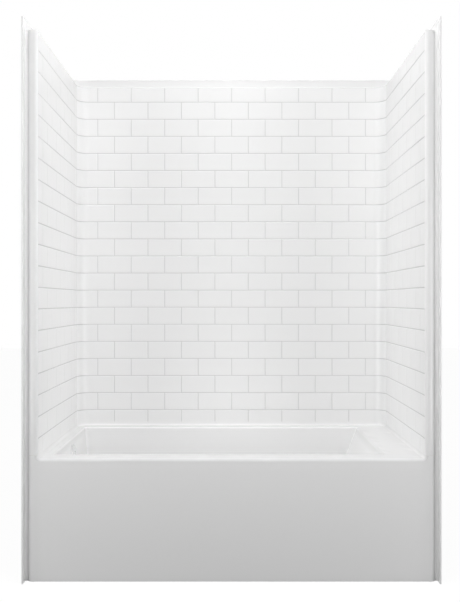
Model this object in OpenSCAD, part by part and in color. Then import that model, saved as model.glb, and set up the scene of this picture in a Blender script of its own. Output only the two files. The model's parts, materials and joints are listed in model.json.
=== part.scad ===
// Tub and shower unit for an alcove: a bathtub section and three walls with
// moulded tile relief, bolted together behind their finished faces, with the
// waste and overflow set and a push stopper.
// X runs to the right, Y to the back and Z up. The origin is on the floor,
// under the middle of the unit. All sizes are in millimetres.

/* [Overall] */
// Width across the front flanges
unit_w = 1524; // [1480:1:1680]
// Depth from the front flange tips to the rear
unit_d = 850; // [820:1:950]
// Height to the top of the nailing flange
unit_h = 2060; // [1900:1:2300]

/* [Shell] */
// Thickness of the moulded skin
skin = 5; // [4:0.5:6]
// Thickness of the nailing and front flanges
flange_t = 6; // [4:0.5:8]
// From the rear or side of the flanges to the finished side face
side_pocket = 52; // [48:1:70]
// From the rear of the unit to the finished back face
back_pocket = 35; // [34:1:60]
// Radius of the coved back corners
cove_r = 50; // [30:1:80]
// Height of the nailing flange above the finished ledge
flange_rise = 40; // [30:1:60]
// Thickness of the seals between the mouldings
seal_t = 1; // [0.5:0.5:2]
// How far the seals sit back from the finished face
seal_back = 1.5; // [1.2:0.1:2]

/* [Face strips] */
// How far the front flanges stand out before the apron face
flange_reach = 25; // [18:1:35]
// Radius from the side face to the face strip
strip_in_r = 12; // [8:1:14]
// Radius of the strip's outer edge
strip_out_r = 9; // [7:0.5:10]
// Radius at the bottom of the crease beside the front flange
crease_r = 5.5; // [4:0.5:6]

/* [Tiles] */
// Length of a tile
tile_l = 152.4; // [100:0.1:200]
// Height of a tile
tile_h = 76.2; // [50:0.1:120]
// Width of the grout groove
grout_w = 3.2; // [2:0.1:5]
// Depth of the grout groove
grout_d = 1.2; // [0.5:0.1:2]
// From the ledge down to the middle of the first groove
top_row = 70; // [40:1:90]

/* [Tub] */
// Height of the deck and rim
rim_h = 450; // [400:1:520]
// Width of the front rim
rim_front_w = 92; // [80:1:120]
// Width of the back ledge
rim_back_w = 63; // [60:1:100]
// Width of the deck at the drain end
deck_drain_w = 42; // [40:1:80]
// Width of the deck at the backrest end
deck_rest_w = 138; // [110:1:180]
// Radius of the cove between deck and walls
deck_cove_r = 11; // [8:1:14]
// Radius of the front rim's outer edge
rim_edge_r = 12; // [8:1:16]
// Height of the basin floor above the room's floor
basin_floor_z = 135; // [130:1:160]
// Plan radius of the basin's corners
basin_corner_r = 10; // [8:1:20]
// Radius between the basin's walls and floor
basin_low_r = 55; // [40:1:70]
// Slope of the drain end from upright, degrees
drain_end_slope = 5.7; // [3:0.1:9]
// Slope of the backrest from upright, degrees
backrest_slope = 22; // [15:0.5:30]
// Slope of the long sides from upright, degrees
long_side_slope = 5; // [3:0.5:8]
// Bevel of the basin's upper edge
basin_bevel = 5; // [3:0.5:8]
// Depth of the apron's turned-in foot
apron_foot = 28; // [20:1:40]

/* [Seam bolts] */
// From the corners of the back wall to its outermost bolts
back_bolt_inset = 180; // [100:5:250]
// From the ends of the side seams to their outermost bolts
side_bolt_inset = 100; // [60:5:150]
// From the ends of the corner seams to their outermost bolts
corner_bolt_inset = 140; // [80:5:200]
// Shank radius of the seam bolts
bolt_r = 3; // [2.5:0.5:3.5]
// Width across the flats of bolt heads and nuts
bolt_af = 10; // [8:0.5:12]
// Height of bolt heads and nuts
bolt_head_h = 4; // [3:0.5:5]
// Clearance round a bolt in the flanges
bolt_clear = 0.3; // [0.2:0.1:0.5]
// Bolts along the back of the deck seam
back_bolts = 5; // [3:1:7]
// Bolts along each side of the deck seam
side_bolts = 3; // [2:1:4]
// Bolts along each corner seam
corner_bolts = 4; // [3:1:6]

/* [Nailing holes] */
// Radius of the holes in the nailing flange
nail_r = 2.5; // [2:0.5:3.5]
// Spacing of the inner pair of holes, one stud bay
stud_pitch = 406.4; // [300:0.1:420]

/* [Timber] */
// Thickness of the wall battens
batten_t = 18; // [12:1:22]
// Width of the wall battens
batten_w = 90; // [60:1:120]
// Number of battens on the back wall
back_battens = 5; // [3:1:6]
// Number of battens on each end wall
end_battens = 3; // [2:1:4]
// Space between a batten's end and the wall flanges
batten_end = 25; // [20:1:60]
// Thickness of the strips under the decks
strip_t = 12; // [9:1:18]
// Side of the square props
prop_w = 30; // [25:1:34]
// Thickness of the board behind the apron
apron_board_t = 9; // [6:1:12]
// Height and thickness of the sill behind the apron's foot
sill_w = 38; // [30:1:45]
// Thickness of the board under the basin
basin_board_t = 12; // [9:1:18]
// Thickness of the planks under the board
runner_w = 38; // [28:1:45]
// Number of planks under the board
runner_count = 4; // [3:1:5]
// Space left round timber pieces
timber_gap = 4; // [3:1:8]

/* [Drain] */
// From the basin's end edge to the drain's middle
drain_inset = 138; // [130:1:170]
// Radius of the drain flange
drain_rim_r = 38; // [35:0.5:42]
// Thickness of the drain flange
drain_rim_t = 4; // [3:0.5:5]
// Depth of the seat for the drain flange
drain_seat = 3; // [2:0.5:4]
// Outer radius of the drain's threaded body
drain_body_r = 23.8; // [22:0.1:26]
// Bore radius of the drain's body
drain_bore_r = 20; // [18:0.5:21]
// Length of the drain's body below its flange
drain_body_h = 28; // [26:1:32]
// Thickness of the flat rubber gaskets
gasket_t = 3; // [2:0.5:4]
// Thickness of the seal under the drain flange
under_seal_t = 0.5; // [0.3:0.1:1]
// Thickness of the slip washers
washer_t = 2; // [1.5:0.5:3]
// Clearance between pieces that screw or push together
fit_clear = 0.05; // [0.02:0.01:0.1]

/* [Waste pipes] */
// Outer radius of the pipes
pipe_r = 19.05; // [16:0.05:20]
// Step in radius of the overflow tube and of the tailpiece's upper end, which slide into the tee
slip_step = 0.45; // [0.4:0.05:0.6]
// Wall thickness of the pipes
pipe_wall = 1.6; // [1.2:0.1:2.5]
// Wall thickness of tee, shoe and elbow
fitting_wall = 4; // [3:0.5:5]
// Radius of the slip nuts
nut_r = 28; // [27:0.5:30]
// Height of the slip nuts
nut_h = 18; // [14:1:20]
// From the finished end wall to the tee's middle, behind it
tee_back = 48; // [46:1:52]
// Height of the tailpiece's lower end above the floor
tail_z = 8; // [2:1:12]
// Length of tailpiece that shows below its nut
tail_show = 22; // [18:1:26]

/* [Overflow] */
// From the rim down to the overflow's middle
overflow_drop = 58; // [50:1:70]
// Radius of the overflow plate
plate_r = 37.5; // [36:0.5:42]
// Depth of the cupped overflow plate
plate_t = 8; // [7:0.5:11]
// Wall thickness of the overflow plate
plate_wall = 2; // [1.5:0.1:2.5]
// Width of the slot that lets water in under the plate
plate_slot_w = 34; // [20:1:40]
// Gap between the plate or the gasket and the tub's skin
plate_gap = 0.3; // [0.1:0.1:0.5]
// Radius of the overflow hole in the tub
overflow_hole_r = 26; // [24:0.5:28]
// Half the distance between the plate's screws
screw_half = 15; // [12:0.5:17]
// Shank radius of the plate's screws
screw_r = 2.4; // [2:0.1:3]

/* [Stopper] */
// Radius of the stopper cap
cap_r = 28; // [26:0.5:30]
// Height of the stopper cap
cap_h = 6; // [5:0.5:8]
// Radius of the stopper seal
stop_seal_r = 25; // [23:0.5:26]
// Thickness of the stopper seal
stop_seal_t = 2.5; // [2:0.5:3]
// Gap between seal and drain flange when shut
shut_gap = 0.3; // [0.2:0.1:0.5]
// Radius of the post
post_r = 5; // [4.5:0.5:6]
// Height of the post above the cross
post_h = 20; // [17:0.5:21]
// Sliding clearance of the sleeve on the post
slide_clear = 0.06; // [0.03:0.01:0.1]
// Wall thickness of the sleeve
sleeve_wall = 2.4; // [1.5:0.1:3]
// How far the sleeve hangs down over the post, from the cap
sleeve_h = 22; // [19:0.5:24]
// How far the stopper lifts
stop_travel = 9; // [6:0.5:10]
// Radius of the spring's wire
wire_r = 0.5; // [0.4:0.1:0.6]

/* [Hidden] */
$fn = 64;

// Finished faces and outer limits
over = 1;
half_w = unit_w / 2;
half_d = unit_d / 2;
side_x = half_w - side_pocket;
back_y = half_d - back_pocket;
apron_y = -half_d + flange_reach;
ledge_z = unit_h - flange_rise;
in_x = half_w - flange_t;
in_y = half_d - flange_t;
cove_x = side_x - cove_r;
cove_y = back_y - cove_r;
seam_z = rim_h + deck_cove_r;
wall_z = seam_z + seal_t;
seam_x = cove_x + seal_t / 2;
back_half = cove_x - seal_t / 2;

// Face strip, from the side face out to the front flange
strip_y = apron_y + strip_in_r;
crease_x = in_x - crease_r;
round_x = crease_x - crease_r - strip_out_r;
round_y = apron_y + strip_out_r;
flange_tip_r = flange_t / 2;

// Tile courses
row_pitch = tile_h + grout_w;
col_pitch = tile_l + grout_w;
groove_zs = [for (z = ledge_z - top_row; z > wall_z + row_pitch / 4; z = z - row_pitch) z];
course_zs = concat([ledge_z + row_pitch - top_row], groove_zs);

// Basin
basin_x0 = -side_x + deck_drain_w;
basin_x1 = side_x - deck_rest_w;
basin_y0 = apron_y + rim_front_w;
basin_y1 = back_y - rim_back_w;
basin_cy = (basin_y0 + basin_y1) / 2;
top_xs = [basin_x0 + basin_corner_r, basin_x1 - basin_corner_r];
top_ys = [basin_y0 + basin_corner_r, basin_y1 - basin_corner_r];
low_z = basin_floor_z + basin_low_r;
low_drop = rim_h - low_z;
function low_in(slope) = low_drop * tan(slope) + basin_low_r / cos(slope);
low_x0 = basin_x0 + low_in(drain_end_slope);
low_x1 = basin_x1 - low_in(backrest_slope);
low_y0 = basin_y0 + low_in(long_side_slope);
low_y1 = basin_y1 - low_in(long_side_slope);
basin_low_z = basin_floor_z - skin;

// Drain, from the top down
drain_x = basin_x0 + drain_inset;
drain_boss_r = drain_rim_r + 4;
seat_z = basin_floor_z - drain_seat;
boss_z = seat_z - skin;
drain_hole_r = drain_body_r + 2;
drain_top_z = seat_z + drain_rim_t;
shoe_top_z = boss_z - gasket_t;
body_low_z = seat_z - drain_body_h;
cross_h = 6;
cross_z = body_low_z + cross_h;
pipe_bore = pipe_r - pipe_wall;
slip_r = pipe_r - slip_step;
arm_z = body_low_z - fitting_wall - pipe_bore;
shoe_low_z = arm_z - pipe_bore - fitting_wall;
shoe_r = drain_body_r + fitting_wall;

// Overflow and tee
overflow_z = rim_h - overflow_drop;
overflow_x = basin_x0 + overflow_drop * tan(drain_end_slope);
tee_x = overflow_x - tee_back - skin;
fitting_r = pipe_r + fitting_wall;
tee_low_z = tail_z + tail_show + nut_h / 2;
tee_high_z = arm_z + fitting_r + nut_h;
tee_in_x = tee_x + fitting_r + nut_h;
elbow_r = overflow_hole_r - 2;
elbow_bore = elbow_r - fitting_wall;
elbow_rim_r = overflow_hole_r + 9;
elbow_low_z = overflow_z - elbow_r - nut_h;

// Seam bolts
bolt_y = (back_y + skin + in_y) / 2;
bolt_x = (side_x + skin + in_x) / 2;
shelf_z = seam_z - skin;
deck_bolt_step = 2 * (back_half - back_bolt_inset) / (back_bolts - 1);
deck_bolt_xs = [for (i = [0 : back_bolts - 1]) i * deck_bolt_step - back_half + back_bolt_inset];
side_bolt_step = (cove_y - strip_y - 2 * side_bolt_inset) / (side_bolts - 1);
side_bolt_ys = [for (i = [0 : side_bolts - 1]) strip_y + side_bolt_inset + i * side_bolt_step];
corner_bolt_step = (ledge_z - wall_z - 2 * corner_bolt_inset) / (corner_bolts - 1);
corner_bolt_zs = [for (i = [0 : corner_bolts - 1]) wall_z + corner_bolt_inset + i * corner_bolt_step];
nail_z = unit_h - flange_rise / 3;

// Stopper, shut
stop_low_z = drain_top_z + shut_gap;
cap_low_z = stop_low_z + stop_seal_t;
sleeve_r = post_r + slide_clear + sleeve_wall;
post_top_z = cross_z + post_h;
boss_r = post_r + 3;
thread_r = post_r - 1;

// Shapes seen from above, for the right half

// The bathing space in plan, grown outward by t
module room_plan(t) {
    translate([0, -unit_d]) square([side_x + t, unit_d + cove_y]);
    translate([0, cove_y - over]) square([cove_x, cove_r + t + over]);
    translate([cove_x, cove_y]) circle(cove_r + t);
}

// A band that follows the finished face, from t0 to t1 behind it
module face_band(t0, t1) {
    difference() {
        room_plan(t1);
        room_plan(t0);
    }
}

// A quarter of a ring, in the quadrant that sx and sy give
module quarter_ring(r_out, r_in, sx, sy) {
    intersection() {
        difference() {
            circle(r_out);
            circle(r_in);
        }
        translate([sx < 0 ? -r_out : 0, sy < 0 ? -r_out : 0]) square(r_out);
    }
}

// The skin of the face strip, its rounded edges, the crease and the front flange
module strip_plan() {
    translate([side_x + strip_in_r, strip_y]) quarter_ring(strip_in_r, strip_in_r - skin, -1, -1);
    translate([side_x + strip_in_r, apron_y]) square([round_x - side_x - strip_in_r, skin]);
    translate([round_x, round_y]) quarter_ring(strip_out_r, strip_out_r - skin, 1, -1);
    translate([crease_x, round_y]) {
        quarter_ring(crease_r + skin, crease_r, -1, 1);
        quarter_ring(crease_r + skin, crease_r, 1, 1);
    }
    translate([in_x, -half_d + flange_tip_r]) square([flange_t, round_y + half_d - flange_tip_r + skin]);
    translate([in_x + flange_tip_r, -half_d + flange_tip_r]) circle(flange_tip_r);
}

// The plate that closes the pocket between the finished face and the flanges
module pocket_plan() {
    difference() {
        union() {
            translate([side_x, round_y]) square([half_w - side_x, in_y - round_y]);
            translate([seam_x, cove_y]) square([half_w - seam_x, in_y - cove_y]);
            translate([side_x + strip_in_r, apron_y]) square([round_x - side_x - strip_in_r, strip_in_r]);
            translate([round_x, round_y]) circle(strip_out_r);
        }
        room_plan(0);
        translate([side_x - over, strip_y - strip_in_r]) square([strip_in_r + over, strip_in_r]);
        translate([crease_x - crease_r, round_y - over]) square([2 * crease_r, over]);
        translate([crease_x, round_y]) circle(crease_r);
    }
    translate([side_x + strip_in_r, strip_y]) quarter_ring(strip_in_r, over, -1, -1);
}

// The nailing flange in plan, on an end wall
module flange_plan() {
    translate([in_x, round_y]) square([flange_t, half_d - round_y]);
    translate([seam_x, in_y]) square([half_w - seam_x, flange_t]);
}

module both_sides() {
    children();
    mirror([1, 0, 0]) children();
}

module bolt_hole(h) {
    translate([0, 0, -over]) cylinder(r = bolt_r + bolt_clear, h = h + 2 * over);
}

// Walls

module end_wall_body() {
    wall_h = ledge_z - wall_z;
    translate([0, 0, wall_z]) linear_extrude(wall_h) {
        intersection() {
            face_band(0, skin);
            translate([seam_x, strip_y]) square([half_w, unit_d]);
        }
        translate([seam_x, back_y]) square([skin, in_y - back_y]);
        strip_plan();
    }
    for (z = [wall_z, ledge_z - skin]) translate([0, 0, z]) linear_extrude(skin) pocket_plan();
    translate([0, 0, ledge_z - skin]) linear_extrude(unit_h - ledge_z + skin) {
        flange_plan();
        translate([in_x, -half_d + flange_tip_r]) square([flange_t, round_y + half_d]);
        translate([in_x + flange_tip_r, -half_d + flange_tip_r]) circle(flange_tip_r);
    }
}

module end_wall_grooves() {
    for (z = groove_zs) translate([0, 0, z - grout_w / 2]) linear_extrude(grout_w) {
        intersection() {
            face_band(-over, grout_d);
            translate([seam_x - over, strip_y]) square([half_w, unit_d]);
        }
    }
    for (i = [0 : len(course_zs) - 1]) {
        low = i + 1 < len(course_zs) ? course_zs[i + 1] : wall_z;
        high = i == 0 ? ledge_z : course_zs[i];
        first = i % 2 == 0 ? 1 : 0.5;
        for (y = [back_y - first * col_pitch : -col_pitch : strip_y + col_pitch / 4])
            translate([side_x - over, y - grout_w / 2, low]) cube([over + grout_d, grout_w, high - low]);
    }
}

module end_wall() {
    difference() {
        end_wall_body();
        end_wall_grooves();
        for (y = side_bolt_ys) translate([bolt_x, y, wall_z]) bolt_hole(skin);
        for (z = corner_bolt_zs) translate([seam_x, bolt_y, z]) rotate([0, 90, 0]) bolt_hole(skin);
        for (s = [-1, 1]) translate([in_x - over, s * stud_pitch / 2, nail_z])
            rotate([0, 90, 0]) cylinder(r = nail_r, h = flange_t + 2 * over);
    }
}

module right_end_wall() {
    color("white") end_wall();
}

module left_end_wall() {
    color("white") mirror([1, 0, 0]) end_wall();
}

module back_wall_body() {
    depth = in_y - back_y;
    translate([-back_half, back_y, wall_z]) cube([2 * back_half, skin, ledge_z - wall_z]);
    for (z = [wall_z, ledge_z - skin]) translate([-back_half, back_y, z]) cube([2 * back_half, depth, skin]);
    both_sides() translate([back_half - skin, back_y, wall_z]) cube([skin, depth, ledge_z - wall_z]);
    translate([-back_half, in_y, ledge_z - skin]) cube([2 * back_half, flange_t, unit_h - ledge_z + skin]);
}

module back_wall_grooves() {
    for (z = groove_zs)
        translate([-half_w, back_y - over, z - grout_w / 2]) cube([unit_w, over + grout_d, grout_w]);
    for (i = [0 : len(course_zs) - 1]) {
        low = i + 1 < len(course_zs) ? course_zs[i + 1] : wall_z;
        high = i == 0 ? ledge_z : course_zs[i];
        first = i % 2 == 0 ? 0 : 0.5;
        for (x = [first * col_pitch : col_pitch : back_half - col_pitch / 8])
            both_sides() translate([x - grout_w / 2, back_y - over, low])
                cube([grout_w, over + grout_d, high - low]);
    }
}

module back_wall() {
    color("white") difference() {
        back_wall_body();
        back_wall_grooves();
        for (x = deck_bolt_xs) translate([x, bolt_y, wall_z]) bolt_hole(skin);
        both_sides() for (z = corner_bolt_zs)
            translate([back_half - skin, bolt_y, z]) rotate([0, 90, 0]) bolt_hole(skin);
        for (i = [-1.5, -0.5, 0.5, 1.5]) translate([i * stud_pitch, in_y - over, nail_z])
            rotate([-90, 0, 0]) cylinder(r = nail_r, h = flange_t + 2 * over);
    }
}

// Tub

// The basin's hollow, grown by t, with its upper edge up to top_z
module basin_form(t, top_z) {
    corner = basin_corner_r + t;
    turn = basin_low_r + t;
    hull() {
        for (x = top_xs, y = top_ys)
            translate([x, y, rim_h - over]) cylinder(r = corner, h = top_z - rim_h + over, $fn = 32);
        for (a = [0 : 10 : 90], sx = [-1, 1], sy = [-1, 1]) {
            reach = turn * cos(a) - corner;
            x = (sx < 0 ? low_x0 : low_x1) + sx * reach;
            y = (sy < 0 ? low_y0 : low_y1) + sy * reach;
            translate([x, y, low_z - turn * sin(a)]) cylinder(r = corner, h = over, $fn = 32);
        }
    }
}

module basin_bevel_form() {
    hull() for (x = top_xs, y = top_ys) translate([x, y, rim_h - basin_bevel])
        cylinder(r1 = basin_corner_r - over, r2 = basin_corner_r + basin_bevel, h = basin_bevel + 0.01, $fn = 32);
}

// The cove between the deck and the walls, with its quarter torus in each corner
module deck_cove() {
    difference() {
        translate([0, 0, rim_h - skin]) linear_extrude(seam_z - rim_h + skin) both_sides() intersection() {
            face_band(-deck_cove_r, skin);
            translate([0, strip_y]) square([half_w, unit_d]);
        }
        both_sides() {
            translate([side_x - deck_cove_r, strip_y - over, seam_z]) rotate([-90, 0, 0])
                cylinder(r = deck_cove_r, h = cove_y - strip_y + over);
            translate([cove_x, cove_y, seam_z]) rotate_extrude()
                translate([cove_r - deck_cove_r, 0]) circle(deck_cove_r);
        }
        translate([-cove_x, back_y - deck_cove_r, seam_z]) rotate([0, 90, 0])
            cylinder(r = deck_cove_r, h = 2 * cove_x);
    }
}

// The shelf that carries the walls, all round the deck
module deck_shelf() {
    translate([0, 0, shelf_z]) linear_extrude(skin) both_sides() {
        pocket_plan();
        translate([0, back_y]) square([seam_x + over, in_y - back_y]);
    }
}

module apron() {
    top = rim_h - rim_edge_r;
    translate([-round_x, apron_y, 0]) cube([2 * round_x, skin, top]);
    translate([-side_x - strip_in_r, apron_y + rim_edge_r, top]) rotate([90, 0, 90])
        linear_extrude(2 * (side_x + strip_in_r)) quarter_ring(rim_edge_r, rim_edge_r - skin, -1, 1);
    foot_x = side_x + strip_in_r / 2;
    translate([-foot_x, apron_y, 0]) cube([2 * foot_x, apron_foot, skin]);
    both_sides() linear_extrude(seam_z) strip_plan();
}

module overflow_place() {
    translate([overflow_x, basin_cy, overflow_z]) rotate([0, 90 - drain_end_slope, 0]) children();
}

module tub_shell() {
    color("white") difference() {
        union() {
            apron();
            translate([-side_x - skin, apron_y + rim_edge_r, rim_h - skin])
                cube([2 * (side_x + skin), back_y + skin - apron_y - rim_edge_r - cove_r, skin]);
            translate([-cove_x, cove_y - over, rim_h - skin]) cube([2 * cove_x, cove_r + over, skin]);
            deck_cove();
            deck_shelf();
            basin_form(skin, rim_h - over / 2);
            translate([drain_x, basin_cy, boss_z]) cylinder(r = drain_boss_r, h = skin);
        }
        basin_form(0, rim_h + over);
        basin_bevel_form();
        translate([drain_x, basin_cy, seat_z]) cylinder(r = drain_rim_r + 0.5, h = 2 * drain_seat);
        translate([drain_x, basin_cy, boss_z - over]) cylinder(r = drain_hole_r, h = skin + 2 * over);
        overflow_place() translate([0, 0, -3 * skin]) cylinder(r = overflow_hole_r, h = 4 * skin);
        for (x = deck_bolt_xs) translate([x, bolt_y, shelf_z]) bolt_hole(skin);
        both_sides() for (y = side_bolt_ys) translate([bolt_x, y, shelf_z]) bolt_hole(skin);
    }
}

// Seals

module deck_seal() {
    color("gainsboro") difference() {
        translate([0, 0, seam_z]) linear_extrude(seal_t) both_sides() difference() {
            union() {
                pocket_plan();
                translate([0, back_y]) square([seam_x + over, in_y - back_y]);
            }
            face_band(-over, seal_back);
        }
        for (x = deck_bolt_xs) translate([x, bolt_y, seam_z]) bolt_hole(seal_t);
        both_sides() for (y = side_bolt_ys) translate([bolt_x, y, seam_z]) bolt_hole(seal_t);
    }
}

module corner_seal() {
    difference() {
        translate([back_half, back_y + seal_back, wall_z])
            cube([seal_t, in_y - back_y - seal_back, ledge_z - wall_z]);
        for (z = corner_bolt_zs) translate([back_half, bolt_y, z]) rotate([0, 90, 0]) bolt_hole(seal_t);
    }
}

module right_corner_seal() {
    color("gainsboro") corner_seal();
}

module left_corner_seal() {
    color("gainsboro") mirror([1, 0, 0]) corner_seal();
}

// Fasteners, drawn with the head's seat at the origin and the shank along -Z

module seam_bolt(grip) {
    cylinder(d = bolt_af / cos(30), h = bolt_head_h, $fn = 6);
    translate([0, 0, -grip - bolt_head_h - 2]) cylinder(r = bolt_r, h = grip + bolt_head_h + 2 + over);
}

module seam_nut(grip) {
    translate([0, 0, -grip - bolt_head_h]) difference() {
        cylinder(d = bolt_af / cos(30), h = bolt_head_h, $fn = 6);
        translate([0, 0, -over]) cylinder(r = bolt_r + fit_clear, h = bolt_head_h + 2 * over);
    }
}

module deck_bolt_places() {
    for (x = deck_bolt_xs) translate([x, bolt_y, wall_z + skin]) children();
    for (s = [-1, 1], y = side_bolt_ys) translate([s * bolt_x, y, wall_z + skin]) children();
}

module corner_bolt_places() {
    both_sides() for (z = corner_bolt_zs)
        translate([back_half - skin, bolt_y, z]) rotate([0, -90, 0]) children();
}

module deck_seam_bolts() {
    color("silver") deck_bolt_places() seam_bolt(2 * skin + seal_t);
}

module deck_seam_nuts() {
    color("silver") deck_bolt_places() seam_nut(2 * skin + seal_t);
}

module corner_seam_bolts() {
    color("silver") corner_bolt_places() seam_bolt(2 * skin + seal_t);
}

module corner_seam_nuts() {
    color("silver") corner_bolt_places() seam_nut(2 * skin + seal_t);
}

// Timber

batten_z0 = wall_z + skin + batten_end;
batten_h = ledge_z - skin - batten_end - batten_z0;

module back_wall_battens() {
    span = 2 * back_half - 2 * skin - batten_w - 4 * batten_end;
    color("burlywood") for (i = [0 : back_battens - 1])
        translate([-span / 2 + i * span / (back_battens - 1) - batten_w / 2, back_y + skin, batten_z0])
            cube([batten_w, batten_t, batten_h]);
}

module end_battens_body() {
    y0 = strip_y + batten_end + batten_w / 2;
    y1 = cove_y - batten_end - batten_w / 2;
    for (i = [0 : end_battens - 1])
        translate([side_x + skin, y0 + i * (y1 - y0) / (end_battens - 1) - batten_w / 2, batten_z0])
            cube([batten_t, batten_w, batten_h]);
}

module right_wall_battens() {
    color("burlywood") end_battens_body();
}

module left_wall_battens() {
    color("burlywood") mirror([1, 0, 0]) end_battens_body();
}

strip_z = rim_h - skin - strip_t;
prop_x0 = basin_x0 - skin - timber_gap - prop_w / 2;
prop_x1 = side_x - deck_rest_w / 2;
prop_y = basin_y1 + skin + timber_gap + prop_w / 2;

module apron_board() {
    color("burlywood") translate([-side_x + timber_gap, apron_y + skin, skin + sill_w])
        cube([2 * (side_x - timber_gap), apron_board_t, strip_z - timber_gap - skin - sill_w]);
}

module front_sill() {
    color("burlywood") translate([-side_x + timber_gap, apron_y + skin, skin])
        cube([2 * (side_x - timber_gap), sill_w, sill_w]);
}

// Strips under the rim, the back ledge and the two decks, one solid each
module deck_strips() {
    x0 = basin_x0 - skin - 3 * timber_gap;
    x1 = basin_x1 + skin + timber_gap;
    y0 = basin_y0 - skin - timber_gap;
    y1 = basin_y1 + skin + timber_gap;
    front = apron_y + rim_edge_r + timber_gap;
    color("burlywood") translate([0, 0, strip_z]) {
        translate([-side_x, front, 0]) cube([2 * side_x, y0 - front, strip_t]);
        translate([-cove_x, y1, 0]) cube([2 * cove_x, back_y - y1, strip_t]);
        translate([-side_x, y0 + timber_gap, 0]) cube([x0 + side_x, y1 - y0 - 2 * timber_gap, strip_t]);
        translate([x1, y0 + timber_gap, 0]) cube([side_x - x1, y1 - y0 - 2 * timber_gap, strip_t]);
    }
}

// Props from the floor to the strips
module deck_props() {
    span = low_x1 - low_x0;
    color("burlywood") {
        for (i = [0 : 2]) translate([low_x0 + i * span / 2 - prop_w / 2, prop_y - prop_w / 2, 0])
            cube([prop_w, prop_w, strip_z]);
        for (x = [prop_x0, prop_x1], y = [low_y0, low_y1])
            translate([x - prop_w / 2, y - prop_w / 2, 0]) cube([prop_w, prop_w, strip_z]);
    }
}

base_x0 = drain_x + 2 * drain_boss_r;

module basin_board() {
    color("burlywood") translate([base_x0, low_y0, basin_low_z - basin_board_t])
        cube([low_x1 - base_x0, low_y1 - low_y0, basin_board_t]);
}

// Planks on edge that carry the board under the basin
module basin_runners() {
    step = (low_x1 - base_x0 - runner_w) / (runner_count - 1);
    color("burlywood") for (i = [0 : runner_count - 1]) translate([base_x0 + i * step, low_y0, 0])
        cube([runner_w, low_y1 - low_y0, basin_low_z - basin_board_t]);
}

// Drain and waste

module tube(r_out, r_in, h) {
    difference() {
        cylinder(r = r_out, h = h);
        translate([0, 0, -over]) cylinder(r = r_in, h = h + 2 * over);
    }
}

module drain_flange() {
    color("silver") translate([drain_x, basin_cy, 0]) {
        rotate_extrude() polygon([[drain_bore_r, body_low_z], [drain_body_r, body_low_z],
            [drain_body_r, seat_z + under_seal_t], [drain_rim_r, seat_z + under_seal_t],
            [drain_rim_r, drain_top_z - 1.5], [drain_rim_r - 3, drain_top_z],
            [drain_bore_r + 1, drain_top_z], [drain_bore_r, drain_top_z - 1]]);
        translate([0, 0, body_low_z]) {
            difference() {
                union() {
                    cylinder(r = boss_r, h = cross_h);
                    for (a = [0, 90]) rotate([0, 0, a]) translate([-drain_bore_r - 1, -1.5, 0])
                        cube([2 * drain_bore_r + 2, 3, cross_h]);
                }
                translate([0, 0, -over]) cylinder(r = thread_r + fit_clear, h = cross_h + 2 * over);
            }
        }
    }
}

module drain_flange_gasket() {
    color("dimgray") translate([drain_x, basin_cy, seat_z])
        tube(drain_rim_r - 1, drain_body_r + fit_clear, under_seal_t);
}

module shoe_gasket() {
    color("dimgray") translate([drain_x, basin_cy, shoe_top_z])
        tube(drain_rim_r - 2, drain_body_r + 0.5, gasket_t);
}

module drain_shoe() {
    color("whitesmoke") translate([drain_x, basin_cy, 0]) difference() {
        union() {
            translate([0, 0, shoe_low_z]) cylinder(r = shoe_r, h = shoe_top_z - shoe_low_z);
            translate([0, 0, shoe_top_z - fitting_wall]) cylinder(r = drain_rim_r - 2, h = fitting_wall);
            translate([0, 0, arm_z]) rotate([0, -90, 0]) cylinder(r = fitting_r, h = shoe_r + nut_h);
        }
        translate([0, 0, body_low_z - 2]) cylinder(r = drain_body_r + fit_clear, h = drain_body_h + 2);
        translate([0, 0, arm_z - pipe_bore]) cylinder(r = pipe_bore, h = body_low_z);
        translate([0, 0, arm_z]) rotate([0, -90, 0]) {
            cylinder(r = pipe_bore, h = shoe_r + nut_h + over);
            translate([0, 0, shoe_r]) cylinder(r = pipe_r + fit_clear, h = nut_h + over);
        }
    }
}

module waste_arm() {
    color("whitesmoke") translate([drain_x - shoe_r, basin_cy, arm_z]) rotate([0, -90, 0])
        tube(pipe_r, pipe_bore, drain_x - shoe_r - tee_x - fitting_r);
}

module waste_tee() {
    socket = slip_r + fit_clear;
    color("whitesmoke") translate([tee_x, basin_cy, 0]) difference() {
        union() {
            translate([0, 0, tee_low_z]) cylinder(r = fitting_r, h = tee_high_z - tee_low_z);
            translate([0, 0, arm_z]) rotate([0, 90, 0]) cylinder(r = fitting_r, h = tee_in_x - tee_x);
        }
        translate([0, 0, tee_low_z - over]) cylinder(r = pipe_bore, h = tee_high_z - tee_low_z + 2 * over);
        translate([0, 0, arm_z]) rotate([0, 90, 0]) {
            cylinder(r = pipe_bore, h = tee_in_x - tee_x + over);
            translate([0, 0, fitting_r]) cylinder(r = pipe_r + fit_clear, h = nut_h + over);
        }
        translate([0, 0, tee_low_z - over]) cylinder(r = socket, h = nut_h / 2 + over);
        translate([0, 0, tee_high_z - nut_h]) cylinder(r = socket, h = nut_h + over);
    }
}

// A slip nut with eight grip ribs: it covers half its height of the tee and holds a washer on the tee's end
module slip_nut() {
    difference() {
        union() {
            cylinder(r = nut_r - 2, h = nut_h);
            for (a = [0 : 45 : 315]) rotate([0, 0, a]) translate([nut_r - 4, -2, 0]) cube([4, 4, nut_h]);
        }
        translate([0, 0, -over]) cylinder(r = fitting_r + fit_clear, h = nut_h / 2 + washer_t + over);
        cylinder(r = pipe_r + 0.2, h = nut_h + over);
    }
}

module slip_washer(hold_r) {
    translate([0, 0, nut_h / 2]) tube(fitting_r, hold_r + fit_clear, washer_t);
}

module upright_nut_places() {
    translate([tee_x, basin_cy, tee_high_z - nut_h / 2]) children();
    translate([tee_x, basin_cy, tee_low_z + nut_h / 2]) rotate([180, 0, 0]) children();
}

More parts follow.
